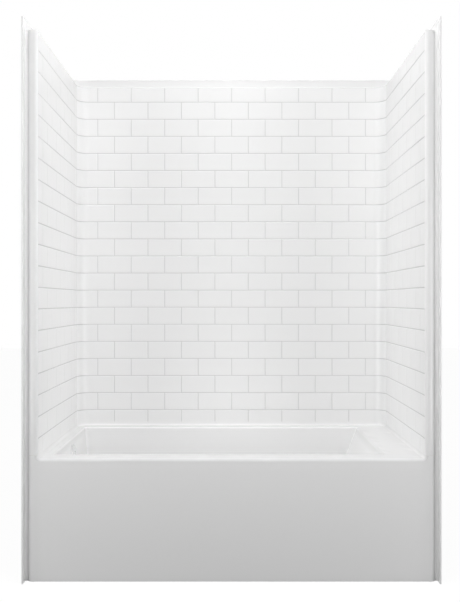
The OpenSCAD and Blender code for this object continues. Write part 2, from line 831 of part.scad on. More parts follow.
module arm_nut_place() {
    translate([tee_in_x - nut_h / 2, basin_cy, arm_z]) rotate([0, 90, 0]) children();
}

module slip_nuts() {
    color("whitesmoke") {
        upright_nut_places() slip_nut();
        arm_nut_place() slip_nut();
    }
}

module slip_washers() {
    color("dimgray") {
        upright_nut_places() slip_washer(slip_r);
        arm_nut_place() slip_washer(pipe_r);
    }
}

// The tailpiece, with a smaller end where the tee holds it
module tailpiece() {
    color("whitesmoke") translate([tee_x, basin_cy, tail_z]) {
        tube(pipe_r, pipe_bore, tail_show);
        translate([0, 0, tail_show - fit_clear]) tube(slip_r, pipe_bore, nut_h + fit_clear);
    }
}

module overflow_tube() {
    low = tee_high_z - nut_h;
    color("whitesmoke") translate([tee_x, basin_cy, low])
        tube(slip_r, pipe_bore, elbow_low_z + nut_h - low);
}

module overflow_elbow() {
    flange_low = -skin - gasket_t - fitting_wall;
    reach = tee_back;
    color("whitesmoke") difference() {
        union() {
            overflow_place() {
                translate([0, 0, flange_low]) cylinder(r = elbow_rim_r, h = fitting_wall);
                translate([0, 0, -reach - skin]) cylinder(r = elbow_r, h = reach + skin + flange_low + over);
            }
            translate([tee_x, basin_cy, elbow_low_z]) cylinder(r = fitting_r, h = overflow_z - elbow_low_z);
            translate([tee_x, basin_cy, overflow_z]) sphere(r = elbow_r);
        }
        overflow_place() translate([0, 0, -reach - skin]) cylinder(r = elbow_bore, h = reach + skin + over);
        translate([tee_x, basin_cy, elbow_low_z - over]) {
            cylinder(r = pipe_bore, h = overflow_z - elbow_low_z);
            cylinder(r = slip_r + fit_clear, h = nut_h + over);
        }
        translate([tee_x, basin_cy, overflow_z]) sphere(r = elbow_bore);
        overflow_place() for (s = [-1, 1])
            translate([0, s * screw_half, -reach]) cylinder(r = screw_r + fit_clear, h = reach);
    }
}

module overflow_gasket() {
    color("dimgray") overflow_place()
        translate([0, 0, -skin - gasket_t]) tube(elbow_rim_r - over, overflow_hole_r, gasket_t - plate_gap);
}

module overflow_plate() {
    low = plate_t - plate_wall;
    shoulder = plate_t * 0.6;
    in_r = plate_r - plate_wall;
    face_r = plate_r - plate_t * 0.8;
    color("silver") overflow_place() difference() {
        rotate_extrude() polygon([[0, low], [face_r, low], [in_r, shoulder - plate_wall / 2],
            [in_r, plate_gap], [plate_r, plate_gap], [plate_r, shoulder], [in_r, plate_t - plate_wall / 2],
            [face_r, plate_t], [0, plate_t]]);
        for (s = [-1, 1]) translate([0, s * screw_half, 0]) cylinder(r = screw_r + 0.2, h = 2 * plate_t);
        translate([plate_r - 2 * plate_wall, -plate_slot_w / 2, 0])
            cube([3 * plate_wall, plate_slot_w, shoulder - plate_wall]);
    }
}

module overflow_screws() {
    color("silver") overflow_place() for (s = [-1, 1]) translate([0, s * screw_half, 0]) {
        translate([0, 0, -4 * skin]) cylinder(r = screw_r, h = 4 * skin + plate_t + over);
        difference() {
            translate([0, 0, plate_t]) cylinder(r = 2 * screw_r, h = screw_r);
            translate([-3 * screw_r, -screw_r / 5, plate_t + screw_r / 2])
                cube([6 * screw_r, screw_r * 0.4, screw_r]);
        }
    }
}

// Stopper

module stopper_post() {
    color("goldenrod") translate([drain_x, basin_cy, 0]) {
        translate([0, 0, body_low_z - 2]) cylinder(r = thread_r, h = cross_h + 2 + over);
        translate([0, 0, cross_z]) cylinder(r = post_r, h = post_h);
    }
}

module stopper_cap() {
    edge = cap_h / 2;
    color("silver") translate([drain_x, basin_cy, cap_low_z]) rotate_extrude()
        polygon([[0, 0], [cap_r - 1, 0], [cap_r, 1], [cap_r, edge], [cap_r - 1.5, edge + 1.5],
            [cap_r * 0.7, cap_h - 0.6], [cap_r * 0.35, cap_h - 0.1], [0, cap_h]]);
}

module stopper_seal() {
    color("dimgray") translate([drain_x, basin_cy, stop_low_z])
        tube(stop_seal_r, sleeve_r + fit_clear, stop_seal_t);
}

module stopper_sleeve() {
    color("silver") translate([drain_x, basin_cy, cap_low_z - sleeve_h])
        tube(sleeve_r, post_r + slide_clear, sleeve_h);
}

// The spring: one wire swept up a helix, with a flat closed turn at each end
spring_r = post_r - 2 * wire_r - 0.2;
spring_low = post_top_z + 0.05;
spring_high = cap_low_z - 0.05;
spring_turns = 4;
wire_sides = 6;
turn_steps = 16;
spring_steps = spring_turns * turn_steps;

function spring_rise(t) = max(0, min(1, (t * spring_turns - 0.75) / (spring_turns - 1.5)));
spring_stroke = spring_high - spring_low - 2 * wire_r;
function spring_point(i) = let (t = i / spring_steps, a = 360 * spring_turns * t)
    [spring_r * cos(a), spring_r * sin(a), spring_low + wire_r + spring_rise(t) * spring_stroke];
function wire_ring(i) = let (p = spring_point(i), a = 360 * spring_turns * i / spring_steps)
    [for (k = [0 : wire_sides - 1]) let (b = 360 * k / wire_sides)
        p + wire_r * [cos(b) * cos(a), cos(b) * sin(a), sin(b)]];

module stopper_spring() {
    points = [for (i = [0 : spring_steps]) each wire_ring(i)];
    walls = [for (i = [0 : spring_steps - 1], k = [0 : wire_sides - 1])
        let (n = (k + 1) % wire_sides, a = i * wire_sides, b = a + wire_sides)
        each [[a + k, b + k, b + n], [a + k, b + n, a + n]]];
    last = spring_steps * wire_sides;
    ends = [[for (k = [0 : wire_sides - 1]) k], [for (k = [wire_sides - 1 : -1 : 0]) last + k]];
    color("dimgray") translate([drain_x, basin_cy, 0]) polyhedron(points, concat(walls, ends));
}

tub_shell();
back_wall();
left_end_wall();
right_end_wall();
deck_seal();
left_corner_seal();
right_corner_seal();
deck_seam_bolts();
deck_seam_nuts();
corner_seam_bolts();
corner_seam_nuts();
back_wall_battens();
left_wall_battens();
right_wall_battens();
apron_board();
front_sill();
deck_strips();
deck_props();
basin_board();
basin_runners();
drain_flange();
drain_flange_gasket();
shoe_gasket();
drain_shoe();
waste_arm();
waste_tee();
slip_nuts();
slip_washers();
overflow_tube();
overflow_elbow();
overflow_gasket();
overflow_plate();
overflow_screws();
tailpiece();
stopper_post();
stopper_cap();
stopper_seal();
stopper_sleeve();
stopper_spring();
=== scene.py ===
"""Alcove tub and shower unit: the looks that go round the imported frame.

The unit is four white gelcoat mouldings, a waste and overflow set, a push stopper and the timber behind the
faces. Every size is in metres, in the frame of the CAD model: X to the right, Y to the back, Z up.
"""

import json
import logging
import math
from dataclasses import dataclass, field, replace
from enum import Enum

import bmesh
import bpy
import numpy as np
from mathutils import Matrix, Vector
from mathutils.geometry import delaunay_2d_cdt

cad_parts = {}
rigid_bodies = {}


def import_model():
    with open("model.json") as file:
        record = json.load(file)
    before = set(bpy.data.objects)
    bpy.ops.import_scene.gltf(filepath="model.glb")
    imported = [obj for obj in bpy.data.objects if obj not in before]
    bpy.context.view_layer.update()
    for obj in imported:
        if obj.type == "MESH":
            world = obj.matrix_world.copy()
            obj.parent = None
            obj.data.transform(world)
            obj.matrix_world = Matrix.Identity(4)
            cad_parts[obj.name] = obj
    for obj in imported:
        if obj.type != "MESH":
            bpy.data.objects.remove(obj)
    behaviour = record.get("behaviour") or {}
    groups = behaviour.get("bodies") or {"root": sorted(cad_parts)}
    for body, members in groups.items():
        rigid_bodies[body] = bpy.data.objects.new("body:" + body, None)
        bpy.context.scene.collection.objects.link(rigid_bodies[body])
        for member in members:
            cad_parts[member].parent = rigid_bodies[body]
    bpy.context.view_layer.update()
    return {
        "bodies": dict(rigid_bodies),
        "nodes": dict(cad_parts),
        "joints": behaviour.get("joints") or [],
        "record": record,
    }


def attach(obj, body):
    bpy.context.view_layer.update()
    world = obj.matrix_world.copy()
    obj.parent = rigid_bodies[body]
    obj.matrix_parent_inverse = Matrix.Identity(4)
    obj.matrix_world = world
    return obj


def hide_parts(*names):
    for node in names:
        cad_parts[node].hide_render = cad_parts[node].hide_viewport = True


LOG = logging.getLogger("tub_unit")
UNIT = "unit"
STOPPER = "stopper"
LAMINATE = "laminate"
# Mesh attribute of painted shade, which darkens the gelcoat's colour at each point
PAINTED_SHADE = "shade"
FACE, BACK = 0, 1
UP = np.array([0.0, 0.0, 1.0])
# Places that faces look at: in the room, high above, far before the unit, and before it and low
ROOM = np.array([0.0, -0.6, 1.1])
SKY = 9.0 * UP
FRONT = np.array([0.0, -5.0, 0.3])
LOW_FRONT = np.array([0.0, -5.0, -9.0])
# Points nearer than this are one, and edges shorter than the second are dropped
SAME_PLACE, TINY = 2e-5, 1e-6

Triple = tuple[float, float, float]


class Side(Enum):
    """The two ends of the unit, with the sign of their X."""

    LEFT = -1
    RIGHT = 1


class Slot(Enum):
    """The record's material slots."""

    GELCOAT = "gelcoat"
    SEAL = "white_seal"
    RUBBER = "black_rubber"
    ZINC = "zinc_steel"
    SPRING = "spring_steel"
    TIMBER = "timber"
    PIPE = "white_pvc"
    CHROME = "chrome"
    BRASS = "brass"


# Curves and surfaces


def pairs(x: float | np.ndarray, y: float | np.ndarray) -> np.ndarray:
    """Points in the plane from their coordinates, of which one may be a single number."""
    return np.stack(np.broadcast_arrays(x, y), axis=-1)


def arc(centre: tuple[float, float], radius: float, start: float, end: float, steps: int) -> np.ndarray:
    """Points on an arc: the centre plus the radius times cosine and sine of evenly spaced angles in degrees."""
    angle = np.radians(np.linspace(start, end, steps + 1))
    return pairs(centre[0] + radius * np.cos(angle), centre[1] + radius * np.sin(angle))


def ways(start: float, end: float, steps: int) -> np.ndarray:
    """The directions from an arc's centre to its points."""
    return arc((0.0, 0.0), 1.0, start, end, steps)


def quarter(steps: int) -> np.ndarray:
    """Evenly spaced angles of a quarter turn, in radians."""
    return np.radians(np.linspace(0.0, 90.0, steps + 1))


def shares(steps: int) -> np.ndarray:
    """Evenly spaced numbers from 0 to 1."""
    return np.linspace(0.0, 1.0, steps + 1)


def circle(steps: int) -> np.ndarray:
    """Evenly spaced angles of a full turn, in radians, without the last one, which repeats the first."""
    return np.linspace(0.0, 2.0 * np.pi, steps + 1)[:-1]


def line(start: tuple[float, float], end: tuple[float, float], steps: int) -> np.ndarray:
    """Evenly spaced points in the plane from start to end."""
    return np.linspace(np.array(start, float), np.array(end, float), steps + 1)


def joined(*parts: np.ndarray) -> np.ndarray:
    """One run of points: each part after the first loses its first point, which repeats the last one."""
    return np.concatenate([parts[0], *[part[1:] for part in parts[1:]]])


def flat(points: np.ndarray, height: float | np.ndarray) -> np.ndarray:
    """Points in plan, put at a height."""
    level = np.broadcast_to(np.asarray(height, float), points.shape[:-1])
    return np.concatenate([points, level[..., None]], axis=-1)


def spread(a: np.ndarray, b: np.ndarray, parts: np.ndarray) -> np.ndarray:
    """Rows between two matching rows: each is a times one less its part, plus b times its part."""
    part = parts[:, None, None]
    return a[None] * (1.0 - part) + b[None] * part


def eased(value: np.ndarray) -> np.ndarray:
    """The smooth step 3 t squared less 2 t cubed of t held between 0 and 1."""
    t = np.clip(value, 0.0, 1.0)
    return t * t * (3.0 - 2.0 * t)


@dataclass(frozen=True)
class RoundedBox:
    """A rectangle in plan with a radius at each corner, run anticlockwise from the start of its front side.

    Attributes:
        x0: left side.
        x1: right side.
        y0: front side.
        y1: back side.
        radii: corner radii at front right, back right, back left and front left.
        steps: straight steps on the front, right, back and left sides.
        turn: straight steps round each corner.
    """

    x0: float
    x1: float
    y0: float
    y1: float
    radii: tuple[float, float, float, float]
    steps: tuple[int, int, int, int] = (28, 18, 28, 18)
    turn: int = 10

    def trace(self) -> tuple[np.ndarray, np.ndarray]:
        """Points and outward directions. A corner's are its centre plus radius times direction; a side's lie evenly
        between two corners.

        Returns:
            Two arrays of (n, 2).
        """
        signs = [(1, -1), (1, 1), (-1, 1), (-1, -1)]
        corners, turns = [], []
        for (sx, sy), radius, start in zip(signs, self.radii, (-90, 0, 90, 180), strict=True):
            centre = ((self.x1 if sx > 0 else self.x0) - sx * radius, (self.y1 if sy > 0 else self.y0) - sy * radius)
            corners.append(arc(centre, radius, start, start + 90, self.turn))
            turns.append(ways(start, start + 90, self.turn))
        points, facing = [], []
        for k, steps in enumerate(self.steps):
            points += [line(corners[k - 1][-1], corners[k][0], steps)[1:-1], corners[k]]
            facing += [np.repeat(turns[k][:1], steps - 1, axis=0), turns[k]]
        return np.concatenate(points), np.concatenate(facing)


@dataclass
class Shell:
    """A surface that grows patch by patch and becomes one mesh.

    Attributes:
        points: the patches' points.
        faces: the patches' faces, as lists of point numbers.
        marks: the material number of each face.
        painted_shades: how much painted shade darkens the face at each point, from 0 to 1 at the bottom of a groove.
        count: number of points so far.
    """

    points: list[np.ndarray] = field(default_factory=list)
    faces: list[list[int]] = field(default_factory=list)
    marks: list[int] = field(default_factory=list)
    painted_shades: list[np.ndarray] = field(default_factory=list)
    count: int = 0

    def _keep(self, points: np.ndarray, faces: np.ndarray, mark: int) -> None:
        """Takes in points and the faces between them.

        Args:
            points: (n, 3) places.
            faces: rows of point numbers, from 0.
            mark: their material number.
        """
        self.points.append(points)
        self.painted_shades.append(np.zeros(len(points)))
        self.faces.extend((faces + self.count).tolist())
        self.marks.extend([mark] * len(faces))
        self.count += len(points)

    def add(self, points: np.ndarray, faces: np.ndarray, toward: np.ndarray | None, mark: int = FACE) -> None:
        """Adds points and faces, turned so that together they face a given place.

        Args:
            points: (n, 3) places.
            faces: rows of three or four point numbers.
            toward: a place that the faces look at, or None to keep their turn.
            mark: their material number.
        """
        if toward is not None:
            a, b, c, d = (points[faces[:, k]] for k in (0, 1, 2, faces.shape[1] - 1))
            normal = np.cross(c - a, d - b) if faces.shape[1] == 4 else np.cross(b - a, c - a)
            if np.sum(normal * (np.asarray(toward, float) - (a + c) / 2.0)) < 0.0:
                faces = faces[:, ::-1]
        self._keep(points, faces, mark)

    def grid(self, surface: np.ndarray, toward: np.ndarray | None, closed: bool = False, mark: int = FACE) -> None:
        """Adds a grid of points: each cell's corners are two neighbours in one row and the same two in the next.

        Args:
            surface: (rows, columns, 3) places.
            toward: a place that the grid looks at, or None to keep its turn.
            closed: whether the last point of a row joins its first.
            mark: its material number.
        """
        rows, columns = surface.shape[:2]
        row = np.arange(rows - 1)[:, None]
        column = np.arange(columns if closed else columns - 1)[None, :]
        after = (column + 1) % columns
        here, next_row = row * columns, (row + 1) * columns
        corners = [here + column, here + after, next_row + after, next_row + column]
        self.add(surface.reshape(-1, 3), np.stack([c.ravel() for c in corners], axis=1), toward, mark)

    def outline(self, loop: np.ndarray, toward: np.ndarray, mark: int = FACE) -> None:
        """Adds one flat many-sided face. Its turn comes from the sum of the cross products of its corners.

        Args:
            loop: its corners in order, (n, 3).
            toward: a place that the face looks at.
            mark: its material number.
        """
        spokes = loop - loop.mean(axis=0)
        normal = np.cross(spokes, np.roll(spokes, -1, axis=0)).sum(axis=0)
        order = np.arange(len(loop))
        if normal @ (np.asarray(toward, float) - loop.mean(axis=0)) < 0.0:
            order = order[::-1]
        self._keep(loop, order[None], mark)

    def lid(self, loop: np.ndarray, way: np.ndarray, mark: int = FACE) -> None:
        """Adds one flat many-sided face that looks along a direction."""
        self.outline(loop, loop.mean(axis=0) + way, mark)

    def prism(self, loop: np.ndarray, low: float, high: float, mark: int = FACE, edge: float = 0.0006) -> None:
        """Adds a closed upright bar: an anticlockwise plan outline from low to high, its ends drawn in by a bevel.

        Args:
            loop: the outline in plan, (n, 2).
            low: height of its foot.
            high: height of its top.
            mark: its material number.
            edge: width of the bevel.
        """
        along = np.roll(loop, -1, axis=0) - np.roll(loop, 1, axis=0)
        outward = np.stack([along[:, 1], -along[:, 0]], axis=1)
        outward /= np.linalg.norm(outward, axis=1)[:, None]
        small = loop - outward * edge
        surface = np.stack([flat(small, low), flat(loop, low + edge), flat(loop, high - edge), flat(small, high)])
        self.grid(surface, None, True, mark)
        self.lid(surface[0], -UP, mark)
        self.lid(surface[-1], UP, mark)

    def mesh(self, name: str, finishes: list[bpy.types.Material]) -> bpy.types.Mesh:
        """The patches as one mesh, with points that share a place made one.

        Args:
            name: the mesh's name.
            finishes: its materials.

        Returns:
            The new mesh.
        """
        mesh = bpy.data.meshes.new(name)
        for finish in finishes:
            mesh.materials.append(finish)
        mesh.from_pydata(np.concatenate(self.points).tolist(), [], self.faces)
        mesh.polygons.foreach_set("material_index", self.marks)
        # Painted shade for the gelcoat's colour, point by point
        mesh.attributes.new(PAINTED_SHADE, "FLOAT", "POINT").data.foreach_set("value", np.concatenate(self.painted_shades))
        work = bmesh.new()
        work.from_mesh(mesh)
        bmesh.ops.remove_doubles(work, verts=work.verts, dist=SAME_PLACE)
        bmesh.ops.dissolve_degenerate(work, dist=TINY, edges=work.edges)
        work.to_mesh(mesh)
        work.free()
        return mesh


def placed(name: str, data: bpy.types.ID) -> bpy.types.Object:
    """A new object of that data in the scene."""
    thing = bpy.data.objects.new(name, data)
    bpy.context.scene.collection.objects.link(thing)
    return thing


def box_loop(x0: float, x1: float, y0: float, y1: float) -> np.ndarray:
    """The four corners of a rectangle in plan, anticlockwise."""
    return np.array([(x0, y0), (x1, y0), (x1, y1), (x0, y1)])


def turned(profile: np.ndarray, steps: int) -> np.ndarray:
    """A profile of (radius, height) turned about Z: radius times cosine, radius times sine, height.

    Args:
        profile: its points, (n, 2).
        steps: straight steps round the circle.

    Returns:
        An array of (n, steps, 3), whose rows close on themselves.
    """
    angle = circle(steps)
    radius, height = profile[:, :1], np.broadcast_to(profile[:, 1:], (len(profile), steps))
    return np.stack([radius * np.cos(angle), radius * np.sin(angle), height], axis=-1)


def places_of(mesh: bpy.types.Mesh) -> np.ndarray:
    """The places of a mesh's points, (n, 3)."""
    places = np.empty(len(mesh.vertices) * 3)
    mesh.vertices.foreach_get("co", places)
    return places.reshape(-1, 3)


def mirror(mesh: bpy.types.Mesh) -> None:
    """Negates every X of a mesh and turns its faces round."""
    mesh.vertices.foreach_set("co", (places_of(mesh) * np.array([-1.0, 1.0, 1.0])).ravel())
    mesh.flip_normals()
    mesh.update()


def new_piece(name: str, mesh: bpy.types.Mesh, body: str, replaced: str,
              angle: float = 38.0) -> bpy.types.Object:
    """A smooth object for a mesh that rides on its body and stands for its CAD node.

    Its large faces set the normals.

    Args:
        name: the piece's name.
        mesh: its mesh, in place, with its materials.
        body: the CAD body that it rides on.
        replaced: the CAD node that it stands for.
        angle: the angle, in degrees, from which an edge stays sharp.

    Returns:
        The new object.
    """
    piece = placed(name, mesh)
    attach(piece, body)
    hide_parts(replaced)
    mesh.shade_smooth()
    mesh.set_sharp_from_angle(angle=math.radians(angle))
    piece.modifiers.new("even_normals", "WEIGHTED_NORMAL").keep_sharp = True
    return piece


# Materials


class Wire:
    """A shader socket that takes part in Python expressions: each operator adds one Math node."""

    def __init__(self, book: "Book", socket: bpy.types.NodeSocket) -> None:
        """Keeps the socket and the book that makes its nodes."""
        self.book = book
        self.socket = socket

    def math(self, operation: str, first: "Wire | float", second: "Wire | float") -> "Wire":
        """A Math node of two values."""
        return self.book.node("Math", {"operation": operation}, [first, second])

    def __add__(self, other: "Wire | float") -> "Wire":
        """This plus other."""
        return self.math("ADD", self, other)

    def __mul__(self, other: "Wire | float") -> "Wire":
        """This times other."""
        return self.math("MULTIPLY", self, other)

    __radd__ = __add__
    __rmul__ = __mul__

    def step(self, low: float, high: float, start: float = 0.0, end: float = 1.0) -> "Wire":
        """A smooth step from start to end as this goes from low to high."""
        sockets = {"Value": self, "From Min": low, "From Max": high, "To Min": start, "To Max": end}
        return self.book.node("MapRange", {"interpolation_type": "SMOOTHSTEP"}, sockets)


class Book:
    """Makes the nodes of one material."""

    def __init__(self, name: str, tree: bpy.types.NodeTree | None = None) -> None:
        """Starts an empty material of that name, or clears a given tree."""
        self.material = None if tree else bpy.data.materials.new(name)
        if self.material:
            self.material.use_nodes = True
        self.tree = tree or self.material.node_tree
        self.tree.nodes.clear()

    def node(self, kind: str, settings: dict[str, object] | None = None,
             sockets: dict[object, object] | list[object] | None = None, out: int | str = 0) -> Wire:
        """Adds a node: its settings come first, and then the values or links of its sockets.

        Args:
            kind: Blender's name of the node's type, without its ShaderNode.
            settings: its settings, such as a Math node's operation; "stops" are a ramp's places and colours.
            sockets: values or wires for its inputs, by name or number, or in order.
            out: the output that the wire holds.

        Returns:
            A wire on that output, or on nothing for a node that has none.
        """
        made = self.tree.nodes.new("ShaderNode" + kind)
        for key, value in (settings or {}).items():
            if key == "stops":
                self._stops(made, value)
            else:
                setattr(made, key, value)
        for key, value in sockets.items() if isinstance(sockets, dict) else enumerate(sockets or []):
            if isinstance(value, Wire):
                self.tree.links.new(value.socket, made.inputs[key])
            else:
                made.inputs[key].default_value = value
        return Wire(self, made.outputs[out] if made.outputs else None)

    @staticmethod
    def _stops(made: bpy.types.Node, stops: list[tuple[float, Triple]]) -> None:
        """Puts a ramp's stops at their places."""
        elements = made.color_ramp.elements
        for _ in range(len(stops) - len(elements)):
            elements.new(1.0)
        for element, (place, colour) in zip(elements, stops, strict=True):
            element.position = place
            element.color = (*colour, 1.0)

    def place(self, stretch: Triple = (1.0, 1.0, 1.0)) -> Wire:
        """The piece's own coordinates in metres, stretched along each axis."""
        spot = self.node("TexCoord", out="Object")
        return self.node("Mapping", None, {"Vector": spot, "Scale": stretch})

    def noise(self, place: Wire, scale: float, detail: float = 3.0, roughness: float = 0.5) -> Wire:
        """Soft noise from 0 to 1."""
        sockets = {"Vector": place, "Scale": scale, "Detail": detail, "Roughness": roughness}
        return self.node("TexNoise", None, sockets)

    def colours(self, share: Wire, *stops: tuple[float, Triple]) -> Wire:
        """A colour from a ramp."""
        return self.node("ValToRGB", {"stops": list(stops)}, [share])

    def mix(self, share: Wire, a: "Wire | Triple", b: Triple) -> Wire:
        """A colour between a and b."""
        first = a if isinstance(a, Wire) else (*a, 1.0)
        return self.node("Mix", {"data_type": "RGBA"}, {0: share, 6: first, 7: (*b, 1.0)}, out=2)

    def bump(self, height: Wire, distance: float, under: Wire | None = None) -> Wire:
        """A normal bent by a height of that many metres."""
        sockets: dict[object, object] = {"Height": height, "Distance": distance}
        if under is not None:
            sockets["Normal"] = under
        return self.node("Bump", None, sockets)

    def finish(self, sockets: dict[object, object]) -> bpy.types.Material:
        """Ends the material with the principled shader and its output.

        Args:
            sockets: values or wires for the shader's inputs.

        Returns:
            The finished material.
        """
        shader = self.node("BsdfPrincipled", None, sockets)
        self.node("OutputMaterial", None, {"Surface": shader})
        return self.material


def grey(value: float) -> tuple[float, float, float, float]:
    """A neutral colour."""
    return (value, value, value, 1.0)


@dataclass(frozen=True)
class Gelcoat:
    """The white gloss face: nearly even in colour, with a faint dull film, the long waves of a mould and painted
    shade.

    Attributes:
        colour: the pigment.
        gloss: roughness where it is cleanest.
        film: added roughness where it is dullest.
        dark: share by which the painted shade darkens the colour where it is strongest.
    """

    colour: Triple = (0.90, 0.90, 0.90)
    gloss: float = 0.10
    film: float = 0.03
    dark: float = 0.40

    def make(self) -> bpy.types.Material:
        """Builds the material."""
        book = Book("white_gelcoat")
        place = book.place()
        cloud = book.noise(place, 1.7, 0.0)
        speck = book.noise(place, 240.0, 2.0)
        waves = book.noise(place, 9.0, 1.0)
        dull = tuple(0.985 * c for c in self.colour)
        # The deep colour is painted shade, mixed in by the mesh's shade attribute
        deep = tuple((1.0 - self.dark) * c for c in self.colour)
        plain = book.colours(cloud, (0.2, dull), (0.8, self.colour))
        shade = book.node("Attribute", {"attribute_name": PAINTED_SHADE}, out="Fac")
        colour = book.mix(shade, plain, deep)
        rough = cloud.step(0.2, 0.8, self.gloss, self.gloss + self.film) + speck * 0.02 + shade * 0.15
        normal = book.bump(speck, 0.000004, book.bump(waves, 0.0003))
        return book.finish({"Base Color": colour, "Roughness": rough, "Normal": normal})


@dataclass(frozen=True)
class Laminate:
    """The chopped glass-fibre back: yellowish resin with short pale strands that cross, and a rough skin.

    Attributes:
        resin: colour between the strands.
        strand: colour of the strands.
        stain: colour of the cloudy patches.
    """

    resin: Triple = (0.60, 0.56, 0.43)
    strand: Triple = (0.80, 0.78, 0.69)
    stain: Triple = (0.62, 0.58, 0.46)

    def make(self) -> bpy.types.Material:
        """Builds the material."""
        book = Book("glass_fibre_back")
        turns = [(60.0, 900.0, 300.0), (900.0, 60.0, 300.0), (300.0, 900.0, 60.0), (700.0, 250.0, 900.0)]
        layers = [book.noise(book.place(turn), 0.35, 2.0, 0.6).step(0.5, 0.72) for turn in turns]
        strands = (layers[0] + layers[1] + layers[2] + layers[3]) * 0.6
        cloud = book.noise(book.place(), 7.0, 5.0)
        colour = book.mix(strands, self.resin, self.strand)
        shade = book.mix(cloud.step(0.3, 0.7, 0.0, 0.35), colour, self.stain)
        rough = strands * 0.25 + 0.38
        normal = book.bump(strands, 0.0005, book.bump(cloud, 0.004))
        return book.finish({"Base Color": shade, "Roughness": rough, "Normal": normal})


class Grain(Enum):
    """The axis that a timber's grain runs along, as the stretch of its pattern along X, Y and Z."""

    ALONG_X = (0.08, 1.0, 1.0)
    ALONG_Y = (1.0, 0.08, 1.0)
    ALONG_Z = (1.0, 1.0, 0.08)


@dataclass(frozen=True)
class Timber:
    """Planed softwood and board: long rings that wander, fine fibres and a few darker streaks.

    Attributes:
        grain: the axis that it was sawn along.
        pale: the spring wood.
        deep: the summer wood.
    """

    grain: Grain
    pale: Triple = (0.66, 0.47, 0.27)
    deep: Triple = (0.42, 0.25, 0.12)

    def make(self) -> bpy.types.Material:
        """Builds the material."""
        book = Book("softwood_" + self.grain.name.lower())
        place = book.place(self.grain.value)
        rings = book.noise(place, 22.0, 3.0, 0.55) * 9.0
        bands = rings.math("PINGPONG", rings, 1.0)
        fibres = book.noise(place, 520.0, 2.0)
        share = bands * 0.62 + fibres * 0.38
        middle = tuple((a + b) / 2.0 for a, b in zip(self.pale, self.deep, strict=True))
        colour = book.colours(share, (0.15, self.pale), (0.62, middle), (0.95, self.deep))
        rough = fibres * 0.2 + 0.55
        return book.finish({"Base Color": colour, "Roughness": rough, "Normal": book.bump(share, 0.0003)})


@dataclass(frozen=True)
class Moulded:
    """Plain moulded or cast stuff: a colour that clouds slightly, a fine grain and its own gloss.

    Attributes:
        name: the material's name.
        colour: its main colour.
        other: the colour that it clouds to.
        gloss: roughness at its cleanest.
        dull: roughness at its dullest.
        grain: size of the grain in metres.
        depth: height of the grain in metres.
        metal: 1 for bare metal.
    """

    name: str
    colour: Triple
    other: Triple
    gloss: float
    dull: float
    grain: float
    depth: float
    metal: float = 0.0

    def make(self) -> bpy.types.Material:
        """Builds the material."""
        book = Book(self.name)
        place = book.place()
        cloud = book.noise(place, 38.0, 4.0, 0.6)
        grain = book.noise(place, 1.0 / self.grain, 2.0)
        colour = book.colours(cloud, (0.3, self.other), (0.65, self.colour))
        rough = cloud.step(0.3, 0.7, self.dull, self.gloss) + grain * 0.04
        sockets = {"Base Color": colour, "Roughness": rough, "Metallic": self.metal,
                   "Normal": book.bump(grain, self.depth)}
        return book.finish(sockets)


@dataclass(frozen=True)
class Plated:
    """Zinc plate: bare metal in small crystals of slightly different brightness and dullness.

    Attributes:
        bright: the brightest crystals.
        dim: the dimmest crystals.
    """

    bright: Triple = (0.72, 0.73, 0.74)
    dim: Triple = (0.50, 0.52, 0.53)

    def make(self) -> bpy.types.Material:
        """Builds the material."""
        book = Book("zinc_plate")
        crystals = book.node("TexVoronoi", None, {"Vector": book.place(), "Scale": 620.0}, out="Color")
        value = book.node("RGBToBW", None, [crystals])
        scuff = book.noise(book.place(), 150.0, 4.0)
        colour = book.mix(value, self.dim, self.bright)
        rough = value * 0.12 + scuff * 0.25 + 0.2
        sockets = {"Base Color": colour, "Roughness": rough, "Metallic": 1.0, "Normal": book.bump(scuff, 0.00005)}
        return book.finish(sockets)


